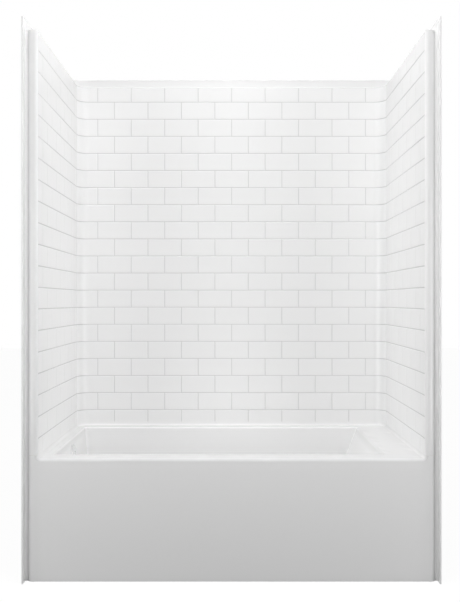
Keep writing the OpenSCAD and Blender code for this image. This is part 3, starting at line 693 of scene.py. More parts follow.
@dataclass
class Finishes:
    """Every finish of the unit, made once."""

    made: dict[str, bpy.types.Material] = field(default_factory=dict)
    woods: dict[Grain, bpy.types.Material] = field(default_factory=dict)

    def build(self) -> "Finishes":
        """Makes the materials, by slot, and the laminate that only new pieces show."""
        plain = {
            Slot.SEAL: Moulded("white_silicone", (0.80, 0.80, 0.77), (0.72, 0.72, 0.68), 0.35, 0.5, 0.0012, 0.00004),
            Slot.RUBBER: Moulded("black_rubber", (0.035, 0.035, 0.037), (0.055, 0.055, 0.055), 0.5, 0.7, 0.0007,
                                 0.00005),
            Slot.SPRING: Moulded("spring_steel", (0.52, 0.52, 0.53), (0.36, 0.35, 0.34), 0.22, 0.4, 0.0004,
                                 0.00001, 1.0),
            Slot.PIPE: Moulded("white_pvc", (0.83, 0.83, 0.80), (0.76, 0.76, 0.72), 0.26, 0.42, 0.0015, 0.00003),
            Slot.CHROME: Moulded("chrome_plate", (0.90, 0.90, 0.90), (0.85, 0.85, 0.855), 0.05, 0.12, 0.0008,
                                 0.000003, 1.0),
            Slot.BRASS: Moulded("brass", (0.80, 0.60, 0.28), (0.58, 0.42, 0.20), 0.22, 0.42, 0.0006, 0.00002, 1.0),
        }
        self.made = {slot.value: finish.make() for slot, finish in plain.items()}
        self.made[Slot.GELCOAT.value] = Gelcoat().make()
        self.woods = {grain: Timber(grain).make() for grain in Grain}
        self.made[Slot.ZINC.value] = Plated().make()
        self.made[LAMINATE] = Laminate().make()
        return self

    def of(self, slot: Slot) -> bpy.types.Material:
        """The finish of a slot."""
        return self.made[slot.value]

    def wood(self, node: str) -> bpy.types.Material:
        """The timber of a node, sawn along its longest way: upright battens and props, runners front to back."""
        if "batten" in node or "prop" in node:
            return self.woods[Grain.ALONG_Z]
        return self.woods[Grain.ALONG_Y if "runner" in node else Grain.ALONG_X]

    def moulding(self) -> list[bpy.types.Material]:
        """The face and the back of a moulding."""
        return [self.of(Slot.GELCOAT), self.made[LAMINATE]]

    def dress(self, frame: dict[str, object]) -> None:
        """Gives every CAD node the finish that its record names.

        Args:
            frame: the loaded frame.
        """
        for part in frame["record"]["subparts"]:
            node = frame["nodes"][part["node"]]
            if not node.material_slots:
                node.data.materials.append(None)
            timber = part["material_slot"] == Slot.TIMBER.value
            for place in node.material_slots:
                place.material = self.wood(part["node"]) if timber else self.made[part["material_slot"]]


# The mouldings


@dataclass(frozen=True)
class Plan:
    """Sizes that the four mouldings share.

    Attributes:
        side_x: face of the end walls.
        back_y: face of the back wall.
        apron_y: face of the apron and the face strips.
        strip_y: where the end walls end and the strip's inner round begins.
        cove_r: radius of the two back corners.
        seam_x: where back wall and end walls meet.
        wall_z: where the walls stand on the tub.
        ledge_z: the ledge over the tile.
        unit_h: top of the nailing flange.
        in_x: inner face of the side flanges.
        in_y: inner face of the back flange.
        half_w: outer face of the side flanges.
        half_d: half the depth of the unit.
        skin: thickness of the laminate.
        flange_t: thickness of the flanges.
        inner_round: radius between end wall and face strip.
        inner_steps: straight steps of it.
        strip_x: where the strip's flat ends and its outer round begins.
        pull: distances of that round's middle places from its ends: along X at the first, along X and Y at the last.
        outer_steps: straight steps of it.
        hollow_x: where that round meets the hollow beside the fin.
        hollow_y: floor of the hollow.
        fillet: radius between the hollow and the fin.
        fillet_steps: straight steps of it.
        tip: round on the fins' front edges.
        tip_steps: straight steps of it.
        painted_shade: painted shade on the nailing flange and in the coves, beside that at the bottom of a groove.
        painted_shade_deck: the same on the deck, which dims its light.
        painted_shade_round: the same on the tub's rounds, which dims their highlights.
        painted_shade_ledge: the same on the round of the ledge, which dims its highlight.
        drain: centre of the drain in plan.
        drain_lean: slope of the basin's drain end, in degrees.
    """

    side_x: float = 0.710
    back_y: float = 0.390
    apron_y: float = -0.400
    strip_y: float = -0.388
    cove_r: float = 0.050
    seam_x: float = 0.660
    wall_z: float = 0.4615
    ledge_z: float = 2.020
    unit_h: float = 2.060
    in_x: float = 0.756
    in_y: float = 0.419
    half_w: float = 0.762
    half_d: float = 0.425
    skin: float = 0.005
    flange_t: float = 0.006
    inner_round: float = 0.012
    inner_steps: int = 10
    strip_x: float = 0.724
    pull: Triple = (0.014, 0.004, 0.0075)
    outer_steps: int = 14
    hollow_x: float = 0.746
    hollow_y: float = -0.3885
    fillet: float = 0.006
    fillet_steps: int = 4
    tip: float = 0.0014
    tip_steps: int = 5
    # Painted shade: darker gelcoat colour that stands in for shade and dims highlights
    painted_shade: float = 0.25
    painted_shade_deck: float = 0.1
    painted_shade_round: float = 0.3
    painted_shade_ledge: float = 0.5
    drain: tuple[float, float] = (-0.530, 0.0095)
    drain_lean: float = 5.7

    def strip(self) -> np.ndarray:
        """The right face strip in plan, from the end wall forward and out.

        Returns:
            Points of (n, 2): a quarter circle, a flat, a soft outer round, the hollow's floor and a fillet.
        """
        inner = arc((self.side_x + self.inner_round, self.strip_y), self.inner_round, 180, 270,
                    self.inner_steps)
        outer = self.beyond()
        return joined(inner, line(inner[-1], outer[0], 2), outer)

    def beyond(self) -> np.ndarray:
        """The part of the strip from its flat outwards.

        The round is a cubic curve: each of its four places in turn, times 1, 3, 3 and 1, times the matching powers of
        t and of one less t.

        Returns:
            Points of (n, 2): the round, the hollow's floor and the fillet at the fin.
        """
        t = shares(self.outer_steps)[:, None]
        first, last, last_y = self.pull
        places = np.array([(self.strip_x, self.apron_y), (self.strip_x + first, self.apron_y),
                           (self.hollow_x - last, self.hollow_y - last_y), (self.hollow_x, self.hollow_y)])
        outer = sum(share * (1.0 - t) ** (3 - k) * t ** k * places[k] for k, share in enumerate((1.0, 3.0, 3.0, 1.0)))
        middle = (self.in_x - self.fillet, self.hollow_y - self.fillet)
        fillet = arc(middle, self.fillet, 90, 0, self.fillet_steps)
        return joined(outer, line(outer[-1], fillet[0], 3), fillet)

    def fin(self) -> np.ndarray:
        """The right fin in plan, anticlockwise: two sides and a front with a small round at each edge."""
        front = -self.half_d + self.tip
        near = arc((self.in_x + self.tip, front), self.tip, 180, 270, self.tip_steps)
        far = arc((self.half_w - self.tip, front), self.tip, 270, 360, self.tip_steps)
        return np.concatenate([[(self.in_x, self.strip_y)], near, far, [(self.half_w, self.strip_y)]])


@dataclass
class Assembly:
    """Pieces that are built to the shared sizes and finishes.

    Attributes:
        plan: the shared sizes.
        finishes: the unit's finishes.
    """

    plan: Plan
    finishes: Finishes


@dataclass
class Moulding(Assembly):
    """A finished face with a second skin behind it, joined round its edges, and closed parts that are thick already.

    Attributes:
        shell: the finished face, which looks into the room.
        plates: the closed parts.
    """

    shell: Shell = field(default_factory=Shell)
    plates: Shell = field(default_factory=Shell)

    def piece(self, name: str, node: str, thickness: float, below: float, side: Side) -> bpy.types.Object:
        """Gives the face its thickness and makes the object.

        Args:
            name: the moulding's name.
            node: the CAD node that it stands for.
            thickness: thickness of the laminate above a height. Under it the plan's skin holds.
            below: the height.
            side: RIGHT as built, LEFT mirrored.

        Returns:
            The piece.
        """
        looks = self.finishes.moulding()
        face, extra = self.shell.mesh(name, looks), self.plates.mesh(name + "_plates", looks)
        work = placed("laminate_work", face)
        high = places_of(face)[:, 2] > below
        group = work.vertex_groups.new(name="thick")
        group.add(np.flatnonzero(high).tolist(), 1.0, "REPLACE")
        group.add(np.flatnonzero(~high).tolist(), self.plan.skin / thickness, "REPLACE")
        solid = work.modifiers.new("laminate", "SOLIDIFY")
        solid.thickness = thickness
        solid.offset = -1.0
        solid.vertex_group = group.name
        solid.material_offset = solid.material_offset_rim = BACK
        bpy.context.view_layer.update()
        made = bpy.data.meshes.new_from_object(work.evaluated_get(bpy.context.evaluated_depsgraph_get()))
        bpy.data.objects.remove(work)
        both = bmesh.new()
        both.from_mesh(made)
        both.from_mesh(extra)
        both.to_mesh(made)
        both.free()
        bpy.data.meshes.remove(face)
        bpy.data.meshes.remove(extra)
        made.name = name + "_moulding"
        if side is Side.LEFT:
            mirror(made)
        return new_piece(made.name, made, UNIT, node)


@dataclass(frozen=True)
class Tiles:
    """The moulded tile relief: courses of a running bond with soft grooves between.

    Attributes:
        length: pitch along a course.
        height: pitch of the courses.
        top_groove: height of the highest groove.
        low: height under which there is no groove.
        depth: depth of the grooves.
        samples: distances from a groove's middle at which the surface is worked out.
        falls: share of the depth at those distances.
        shade: share of the painted groove shade that the back wall's grooves get beside an end wall's, which are seen
            along their length.
    """

    length: float = 0.155575
    height: float = 0.079375
    top_groove: float = 1.950
    low: float = 0.500
    depth: float = 0.0012
    samples: tuple[float, ...] = (0.0, 0.0008, 0.0016, 0.0026, 0.0050)
    falls: tuple[float, ...] = (1.0, 0.86, 0.38, 0.07, 0.0)
    # Share of the painted shade in the back wall's grooves
    shade: float = 0.6

    def around(self, middles: np.ndarray) -> np.ndarray:
        """The places, sorted, at which grooves with these middles are worked out."""
        offsets = np.array(self.samples)
        return np.unique(np.round(middles[:, None] + np.concatenate([-offsets, offsets])[None, :], 7).ravel())

    def levels(self) -> np.ndarray:
        """Heights of the grooves between courses."""
        return np.arange(self.top_groove, self.low, -self.height)

    def fall(self, distance: np.ndarray) -> np.ndarray:
        """Share of the depth at a distance from a groove's middle."""
        return np.interp(np.abs(distance), self.samples, self.falls)

    def relief(self, along: np.ndarray, height: np.ndarray, odd: np.ndarray, even: np.ndarray) -> np.ndarray:
        """Depth of the surface: the deeper of the groove between courses and the upright groove of this course,
        where courses take turns between two sets of upright grooves.

        Args:
            along: distance along the wall of each column, (columns,).
            height: height of each row, (rows,).
            odd: middles of the upright grooves of the first, third and later odd courses.
            even: middles of those of the even courses.

        Returns:
            An array of (rows, columns) in metres.
        """
        across = self.fall(np.abs(height[:, None] - self.levels()[None, :]).min(axis=1))
        course = np.floor((self.top_groove - height) / self.height).astype(int)
        sets = [self.fall(np.abs(along[:, None] - middles[None, :]).min(axis=1)) for middles in (odd, even)]
        upright = np.where((course % 2 == 1)[:, None], sets[0][None, :], sets[1][None, :])
        return self.depth * np.maximum(across[:, None], upright)


@dataclass
class Wall(Moulding):
    """The back wall or an end wall.

    Attributes:
        tiles: the tile relief.
        edge_r: round on the ledge's front edge.
        fillet_r: hollow at the foot of the nailing flange.
        round_steps: straight steps of that round and of that hollow.
        fade: distance over which the relief dies out at the tub and at the face strip.
        foot_h: lowest height over the foot of a row between courses.
        flange_up: height over the ledge where the flange's own thickness begins.
        ledge_steps: straight steps across the ledge.
        cove_steps: straight steps round a cove.
        corner_r: radius of the nailing flange's back corners.
        corner_steps: straight steps round one.
        lift: how far the seam plates' feet are above the tub's seam plates.
    """

    tiles: Tiles = field(default_factory=Tiles)
    edge_r: float = 0.006
    fillet_r: float = 0.008
    round_steps: int = 5
    fade: float = 0.010
    foot_h: float = 0.02
    flange_up: float = 0.001
    ledge_steps: int = 4
    cove_steps: int = 18
    corner_r: float = 0.010
    corner_steps: int = 6
    lift: float = 0.0005

    def heights(self) -> np.ndarray:
        """Heights of the face's rows: close together at the grooves, and a few between them."""
        top, foot = self.plan.ledge_z - self.edge_r, self.plan.wall_z
        between = np.arange(self.tiles.top_groove + self.tiles.height / 2.0, foot + self.foot_h, -self.tiles.height)
        rows = np.concatenate([foot + self.edge_rows(), [top], self.tiles.around(self.tiles.levels()), between])
        return np.unique(rows[(rows >= foot) & (rows <= top)])

    def edge_rows(self) -> np.ndarray:
        """Distances from an edge over which the relief dies out."""
        return self.fade * np.array([0.0, 0.35, 0.7, 1.0])

    def section(self, face: np.ndarray, facing: np.ndarray, outer: np.ndarray, outer_facing: np.ndarray,
                relief: np.ndarray) -> None:
        """Adds a wall from its foot to the top of its nailing flange, column by column of its plan.

        The face is the plan plus relief times facing; above it come a quarter round, the flat ledge, a quarter hollow
        and the flange's face. Painted shade darkens the face by its share of a groove's depth and, in the cove, by
        the plan's painted shade times X and Y of facing, which dims the cove's highlight. The round above it and the
        flange get even painted shade.

        Args:
            face: the face in plan, (n, 2).
            facing: direction into the laminate at each point.
            outer: the flange's face in plan, (n, 2).
            outer_facing: direction into the laminate at each of its points.
            relief: depth of the surface at each row and column.
        """
        heights = self.heights()
        relief = relief * eased((heights - self.plan.wall_z) / self.fade)[:, None]
        front = flat(face[None] + relief[..., None] * facing[None], heights[:, None])
        turn = quarter(self.round_steps)[1:, None, None]
        rounded = flat(face[None] + self.edge_r * (1.0 - np.cos(turn)) * facing[None],
                       (self.plan.ledge_z - self.edge_r + self.edge_r * np.sin(turn))[..., 0])
        hollow = flat(outer[None] - self.fillet_r * (1.0 - np.sin(turn)) * outer_facing[None],
                      (self.plan.ledge_z + self.fillet_r * (1.0 - np.cos(turn)))[..., 0])
        foot = flat(outer - self.fillet_r * outer_facing, self.plan.ledge_z)
        ledge = spread(rounded[-1], foot, shares(self.ledge_steps)[1:])
        top = flat(outer, self.plan.unit_h)
        self.shell.grid(np.concatenate([front, rounded, ledge, hollow, top[None]]), ROOM)
        # Painted shade: the grooves are darkened where shade falls in them, the coves and the ledge's round where a
        # highlight falls, the flange evenly
        across = np.abs(facing[None, :, 0])
        painted_shades = relief / self.tiles.depth * (self.tiles.shade + (1.0 - self.tiles.shade) * across)
        painted_shades = painted_shades + self.plan.painted_shade * np.abs(facing[None, :, 0] * facing[None, :, 1])
        dark = self.shell.painted_shades[-1]
        dark[:relief.size] = painted_shades.ravel()
        dark[-len(face) * (len(hollow) + 1):] = self.plan.painted_shade
        dark[relief.size:relief.size + len(face) * (len(rounded) - 1)] = self.plan.painted_shade_ledge

    def back(self) -> bpy.types.Object:
        """Builds the back wall with its seam plates."""
        plan, tiles = self.plan, self.tiles
        odd = np.arange(-4, 5) * tiles.length
        even = (np.arange(-4, 4) + 0.5) * tiles.length
        columns = np.concatenate([tiles.around(np.concatenate([odd, even])), [-plan.seam_x, plan.seam_x]])
        columns = np.unique(columns[np.abs(columns) <= plan.seam_x])
        face, outer = pairs(columns, plan.back_y), pairs(columns, plan.in_y)
        facing = np.tile([0.0, 1.0], (len(columns), 1))
        self.section(face, facing, outer, facing, tiles.relief(columns, self.heights(), odd, even))
        low, high = plan.wall_z + self.lift, plan.ledge_z - plan.skin
        y0, y1 = plan.back_y + plan.skin, plan.in_y
        for x in (-plan.seam_x, plan.seam_x - plan.skin):
            self.plates.prism(box_loop(x, x + plan.skin, y0, y1), low, high, BACK)
        self.plates.prism(box_loop(-plan.seam_x, plan.seam_x, y0, y1), low, low + plan.skin, BACK)
        return self._made("back_wall", Side.RIGHT)

    def end(self, side: Side) -> bpy.types.Object:
        """Builds an end wall with its cove, face strip and fin.

        Args:
            side: which end.

        Returns:
            The piece.
        """
        plan, tiles = self.plan, self.tiles
        cove_y = plan.back_y - plan.cove_r
        odd = plan.back_y - np.arange(1, 5) * tiles.length
        even = plan.back_y - (np.arange(1, 6) - 0.5) * tiles.length
        grooves = tiles.around(np.concatenate([odd, even]))
        forward = np.unique(np.concatenate([grooves, plan.strip_y + self.edge_rows(), [cove_y]]))
        forward = forward[(forward <= cove_y) & (forward >= plan.strip_y)][::-1]
        bend = arc((plan.seam_x, cove_y), plan.cove_r, 90, 0, self.cove_steps)
        face = joined(bend, pairs(plan.side_x, forward))
        facing = joined(ways(90, 0, self.cove_steps), np.tile([1.0, 0.0], (len(forward), 1)))
        outer, outer_facing = self._outer(len(bend), forward)
        relief = tiles.relief(face[:, 1], self.heights(), odd, even)
        relief = relief * eased((face[:, 1] - plan.strip_y) / self.fade)[None, :]
        self.section(face, facing, outer, outer_facing, relief)
        self._strip()
        self.plates.prism(plan.fin(), plan.wall_z, plan.unit_h)
        low, high = plan.wall_z + self.lift, plan.ledge_z - plan.skin
        x0, y0, y1 = plan.side_x + plan.skin, plan.back_y + plan.skin, plan.in_y
        self.plates.prism(box_loop(plan.seam_x, plan.seam_x + plan.skin, y0, y1), low, high, BACK)
        self.plates.prism(box_loop(x0, plan.in_x, plan.strip_y + plan.skin, cove_y), low, low + plan.skin, BACK)
        return self._made(side.name.lower() + "_end_wall", side)

    def _outer(self, bend: int, forward: np.ndarray) -> tuple[np.ndarray, np.ndarray]:
        """The side flange's plan, point for point with the end wall's: back leg, small corner, side leg.

        Args:
            bend: number of points of the cove.
            forward: Y of the points after the cove.

        Returns:
            Its points and their directions.
        """
        plan, corner, steps = self.plan, self.corner_r, self.corner_steps
        middle = (plan.in_x - corner, plan.in_y - corner)
        back_steps = bend - steps - 3
        back = line((plan.seam_x, plan.in_y), (middle[0], plan.in_y), back_steps)
        down = line((plan.in_x, middle[1]), (plan.in_x, plan.back_y - plan.cove_r), 2)
        points = joined(back, arc(middle, corner, 90, 0, steps), down, pairs(plan.in_x, forward))
        facing = np.concatenate([np.tile([0.0, 1.0], (back_steps, 1)), ways(90, 0, steps),
                                 np.tile([1.0, 0.0], (len(forward) + 1, 1))])
        return points, facing

    def _strip(self) -> None:
        """Adds the face strip, its flat top and the two small ends where the ledge's round and hollow stop.

        The strip's plan is carried straight up.
        """
        plan = self.plan
        y, z = plan.strip_y, plan.ledge_z
        run = plan.strip()
        self.shell.grid(np.stack([flat(run, level) for level in np.append(self.heights(), z)]), FRONT)
        ledge_x = np.linspace(plan.in_x - self.fillet_r, plan.side_x + self.edge_r, self.ledge_steps + 1)
        cap = np.concatenate([run, [(plan.in_x, y)], pairs(ledge_x, y)])
        self.shell.lid(flat(cap, z), UP)
        turn = quarter(self.round_steps)
        near, far = 1.0 - np.cos(turn), 1.0 - np.sin(turn)
        ends = [(plan.in_x - self.fillet_r * far, z + self.fillet_r * near, plan.in_x, -1.0),
                (plan.side_x + self.edge_r * near, z - self.edge_r * far, plan.side_x, 1.0)]
        for across, up, corner_x, look_y in ends:
            curve = np.stack([across, np.full_like(across, y), up], axis=1)
            self.shell.lid(np.concatenate([curve, [(corner_x, y, z)]]), np.array([0.0, look_y, 0.0]))

    def _made(self, node: str, side: Side) -> bpy.types.Object:
        """The wall's piece."""
        return self.piece(node, node, self.plan.flange_t, self.plan.ledge_z + self.flange_up, side)


@dataclass
class Tub(Moulding):
    """The tub section: deck, basin, rim, apron, lower face strips and fins.

    Attributes:
        rim_h: height of the deck.
        deck_cove_r: hollow between deck and walls.
        rim_edge_r: round between deck and apron.
        top: the basin's edge: left, right, front and back.
        corner_r: its corner radius in plan.
        low: the same for the centres of the basin's lower round.
        low_z: height of those centres.
        low_r: radius of that round.
        leans: slope of the backrest and of the long sides, in degrees.
        edge_r: round on the basin's edge at the sides.
        rest_edge_r: the same over the backrest.
        deck_steps: straight steps across the deck.
        edge_steps: straight steps of the rounds on the rim.
        wall_steps: straight steps down the basin's walls.
        low_steps: straight steps of the lower round.
        cove_steps: straight steps of the hollow under the walls.
        apron_steps: straight steps down the apron.
        dish_r: outer radius of the dish round the drain.
        dish_steps: straight steps round it.
        hole_r: radius of the drain hole.
        foot_r: round at the foot of the apron.
        foot_steps: straight steps of that round.
        foot_in: depth of the apron's turned-in foot.
    """

    rim_h: float = 0.450
    deck_cove_r: float = 0.011
    rim_edge_r: float = 0.012
    top: tuple[float, float, float, float] = (-0.668, 0.572, -0.308, 0.327)
    corner_r: float = 0.010
    low: tuple[float, float, float, float] = (-0.586775, 0.407634, -0.230041, 0.249041)
    low_z: float = 0.190
    low_r: float = 0.055
    leans: tuple[float, float] = (22.0, 5.0)
    edge_r: float = 0.007
    rest_edge_r: float = 0.013
    deck_steps: int = 3
    edge_steps: int = 8
    wall_steps: int = 11
    low_steps: int = 13
    cove_steps: int = 7
    apron_steps: int = 11
    dish_r: float = 0.047
    dish_steps: int = 72
    hole_r: float = 0.0258
    foot_r: float = 0.004
    foot_steps: int = 4
    foot_in: float = 0.028

    def build(self) -> bpy.types.Object:
        """Builds the tub section."""
        box = self._deck_box()
        outer, facing = box.trace()
        edge = self._basin()
        self.shell.grid(spread(flat(outer, self.rim_h), edge, shares(self.deck_steps)), SKY, True)
        # Painted shade on the deck, which tones down its light
        self.shell.painted_shades[-1][:] = self._painted_shade_rows(self.plan.painted_shade_deck, facing, self.deck_steps + 1)
        corner = box.steps[0] - 1
        walled = slice(corner + box.turn, -box.turn)
        self._deck_cove(outer[walled], facing[walled])
        self._front(np.concatenate([outer[-1:], outer[:corner + 1]]))
        self._plates()
        return self.piece("tub", "tub_shell", self.plan.skin, 0.0, Side.RIGHT)

    @staticmethod
    def _painted_shade_rows(shade: float, facing: np.ndarray, rows: int) -> np.ndarray:
        """The painted shade of equal rows of points: the given share, which fades to none where they face the back.
        """
        return np.tile(shade * (1.0 - np.clip(facing[:, 1], 0.0, 1.0)), rows)

    def _deck_box(self) -> RoundedBox:
        """The deck's outer line: square at the front, round under the coves."""
        plan = self.plan
        reach, back = plan.side_x - self.deck_cove_r, plan.back_y - self.deck_cove_r
        turn = plan.cove_r - self.deck_cove_r
        return RoundedBox(-reach, reach, plan.strip_y, back, (0.0, turn, turn, 0.0))

    def _basin(self) -> np.ndarray:
        """Adds the basin from the deck's edge to the drain hole.

        The lower round, of radius r, has rounded boxes for loops that grow by r cos(a) while they fall by r sin(a).
        A wall runs straight from the basin's edge to the loop where a is the wall's own lean. At a corner the lean is
        that of the end times the square of the direction's X, plus that of the side times the square of its Y.

        Returns:
            The edge where the deck begins, (n, 3).
        """
        points, facing = RoundedBox(*self.top, (self.corner_r,) * 4).trace()
        x0, x1, y0, y1 = self.low
        centres = RoundedBox(x0, x1, y0, y1, (self.corner_r,) * 4).trace()[0]
        more = 0.1
        grown = RoundedBox(x0 - more, x1 + more, y0 - more, y1 + more, (self.corner_r,) * 4).trace()[0]
        way = flat((grown - centres) / more, 0.0)
        drain_end, rest, side = np.radians((self.plan.drain_lean, *self.leans))
        ends = np.where(facing[:, 0] > 0.0, rest, drain_end)
        lean = ends * facing[:, 0] ** 2 + side * facing[:, 1] ** 2
        bend = (lean[None, :] + shares(self.low_steps)[:, None] * (np.pi / 2.0 - lean)[None, :])[..., None]
        round_foot = flat(centres, self.low_z)[None] + self.low_r * (np.cos(bend) * way[None] - np.sin(bend) * UP)
        out = flat(facing, 0.0)
        fall = round_foot[0] - flat(points, self.rim_h)
        slope = np.arctan2(-np.sum(fall * out, axis=1), -fall[:, 2])
        radius = self.edge_r + (self.rest_edge_r - self.edge_r) * eased(facing[:, 0])
        cut = radius * np.tan((np.pi / 2.0 - slope) / 2.0)
        middle = flat(points, self.rim_h) + out * cut[:, None] - UP * radius[:, None]
        turn = (shares(self.edge_steps)[:, None] * (np.pi / 2.0 - slope)[None, :])[..., None]
        edge = middle[None] + radius[None, :, None] * (np.cos(turn) * UP - np.sin(turn) * out[None])
        wall = spread(edge[-1], round_foot[0], shares(self.wall_steps)[1:-1])
        self.shell.grid(np.concatenate([edge, wall, round_foot]), np.array([-0.05, 0.01, self.rim_h]), True)
        # Painted shade on the basin's edge round, which dims its highlight
        self.shell.painted_shades[-1][:edge[..., 0].size] = self._painted_shade_rows(self.plan.painted_shade_round, facing, len(edge))
        self._floor(round_foot[-1])
        return edge[0]

    def _floor(self, rim: np.ndarray) -> None:
        """Adds the basin's floor as a net of triangles round the drain's dish, and the dish as turned rings.

        Args:
            rim: the floor's outer line, (n, 3).
        """
        floor_z, drain = self.low_z - self.low_r, np.array([*self.plan.drain, 0.0])
        radii = [self.dish_r, 0.0450, 0.0425, 0.0402, 0.0385, self.hole_r, self.hole_r]
        drops = [0.0, 0.0004, 0.0014, 0.0026, 0.003, 0.003, 0.008]
        dish = turned(np.stack([radii, floor_z - np.array(drops)], axis=1), self.dish_steps) + drain
        self.shell.grid(dish, drain + SKY, True)
        plan = np.concatenate([rim[:, :2], dish[0, :, :2]])
        a, b = len(rim), dish.shape[1]
        edges = [(k, (k + 1) % a) for k in range(a)] + [(a + k, a + (k + 1) % b) for k in range(b)]
        net = delaunay_2d_cdt([Vector(p) for p in plan.tolist()], edges, [], 1, TINY)
        places, faces = np.array([tuple(p) for p in net[0]]), np.array([list(f) for f in net[2]])
        middle = places[faces].mean(axis=1) - drain[:2]
        outside = np.hypot(middle[:, 0], middle[:, 1]) > self.dish_r * 0.998
        self.shell.add(flat(places, floor_z), faces[outside], SKY)

    def _deck_cove(self, path: np.ndarray, out: np.ndarray) -> None:
        """Adds the hollow between deck and walls: a quarter circle carried along the sides and the back.

        Args:
            path: the deck's outer line along them.
            out: its outward directions.
        """
        turn = quarter(self.cove_steps)
        reach = np.append(self.deck_cove_r * np.sin(turn), self.deck_cove_r)
        rise = np.append(self.rim_h + self.deck_cove_r * (1.0 - np.cos(turn)), self.plan.wall_z)
        self.shell.grid(flat(path[None] + out[None] * reach[:, None, None], rise[:, None]), ROOM)
        # Painted shade on the hollow's round, which dims its highlight
        self.shell.painted_shades[-1][:len(turn) * len(path)] = self._painted_shade_rows(self.plan.painted_shade_round, out, len(turn))

    def _front(self, rim: np.ndarray) -> None:
        """Adds the front: the round that frames it, the apron, its corners, its foot and the strips.

        The round is a quarter circle carried along the front edge of wall, cove and deck.

        Args:
            rim: the deck's front line, left to right, (n, 2).
        """
        plan, radius = self.plan, self.rim_edge_r
        centre_z = self.rim_h + self.deck_cove_r
        inner_x = plan.side_x - self.deck_cove_r
        bend = arc((inner_x, centre_z), self.deck_cove_r, 0, -90, self.cove_steps)
        into = ways(0, -90, self.cove_steps)
        across = pairs(rim[::-1][1:-1, 0], self.rim_h)
        down = np.tile([0.0, -1.0], (len(across), 1))
        flip = np.array([-1.0, 1.0])
        ends = np.array([(plan.side_x, plan.wall_z)])
        path = np.concatenate([ends, bend, across, bend[::-1] * flip, ends * flip])
        way = np.concatenate([into[:1], into, down, into[::-1] * flip, into[:1] * flip])
        turn = quarter(self.edge_steps)[:, None, None]
        place = path[None] + way[None] * radius * (1.0 - np.cos(turn))
        depth = np.broadcast_to(plan.strip_y - radius * np.sin(turn), place.shape[:2] + (1,))
        frame = np.concatenate([place[..., :1], depth, place[..., 1:]], axis=-1)
        self.shell.grid(frame, FRONT)
        # Painted shade on the front round, which dims its highlight
        self.shell.painted_shades[-1][len(path):-len(path)] = plan.painted_shade_round
        last, count = frame[-1], len(bend)
        columns = last[count:-count, 0]
        heights = np.linspace(self.rim_h - radius, self.foot_r, self.apron_steps + 1)
        wide, tall = np.meshgrid(columns, heights)
        self.shell.grid(np.stack([wide, np.full_like(wide, plan.apron_y), tall], axis=-1), FRONT)
        levels = np.array([0.0, self.foot_r, 0.2, plan.wall_z])
        for sign, curve in ((1.0, last[count:0:-1]), (-1.0, last[-count - 1:-1])):
            outside = [(sign * (plan.side_x + radius), plan.wall_z)]
            outside += [(sign * plan.strip_x, z) for z in levels[:0:-1]]
            outside += [(sign * inner_x, z) for z in heights[:0:-1]]
            side = np.array([(x, plan.apron_y, z) for x, z in outside])
            self.shell.outline(np.concatenate([curve, side]), FRONT)
            strip = plan.beyond() * np.array([sign, 1.0])
            self.shell.grid(flat(np.repeat(strip[None], 4, axis=0), levels[:, None]), FRONT)
        self._foot(np.concatenate([[plan.strip_x], columns, [-plan.strip_x]]))

    def _foot(self, across: np.ndarray) -> None:
        """Adds the apron's turned-in foot: a quarter round along the foot, then a flat on the floor.

        Args:
            across: X of its columns.
        """
        roll, start = quarter(self.foot_steps), self.plan.apron_y
        ys = np.append(start + self.foot_r * (1.0 - np.cos(roll)), start + self.foot_in)
        zs = np.append(self.foot_r * (1.0 - np.sin(roll)), 0.0)
        surface = np.stack(np.broadcast_arrays(across[None], ys[:, None], zs[:, None]), axis=-1)
        self.shell.grid(surface, LOW_FRONT)

    def _plates(self) -> None:
        """Adds the fins and the shelves that the walls stand on."""
        plan = self.plan
        cove_y = plan.back_y - plan.cove_r
        top = self.rim_h + self.deck_cove_r
        low = top - plan.skin
        for sign in (1.0, -1.0):
            loop = plan.fin() * np.array([sign, 1.0])
            self.plates.prism(loop if sign > 0 else loop[::-1], 0.0, plan.wall_z)
            x0, x1 = sorted((sign * (plan.side_x + plan.skin), sign * plan.in_x))
            self.plates.prism(box_loop(x0, x1, plan.strip_y + plan.skin, cove_y), low, top, BACK)
        self.plates.prism(box_loop(-plan.seam_x, plan.seam_x, plan.back_y + plan.skin, plan.in_y), low, top, BACK)


# The bright fittings


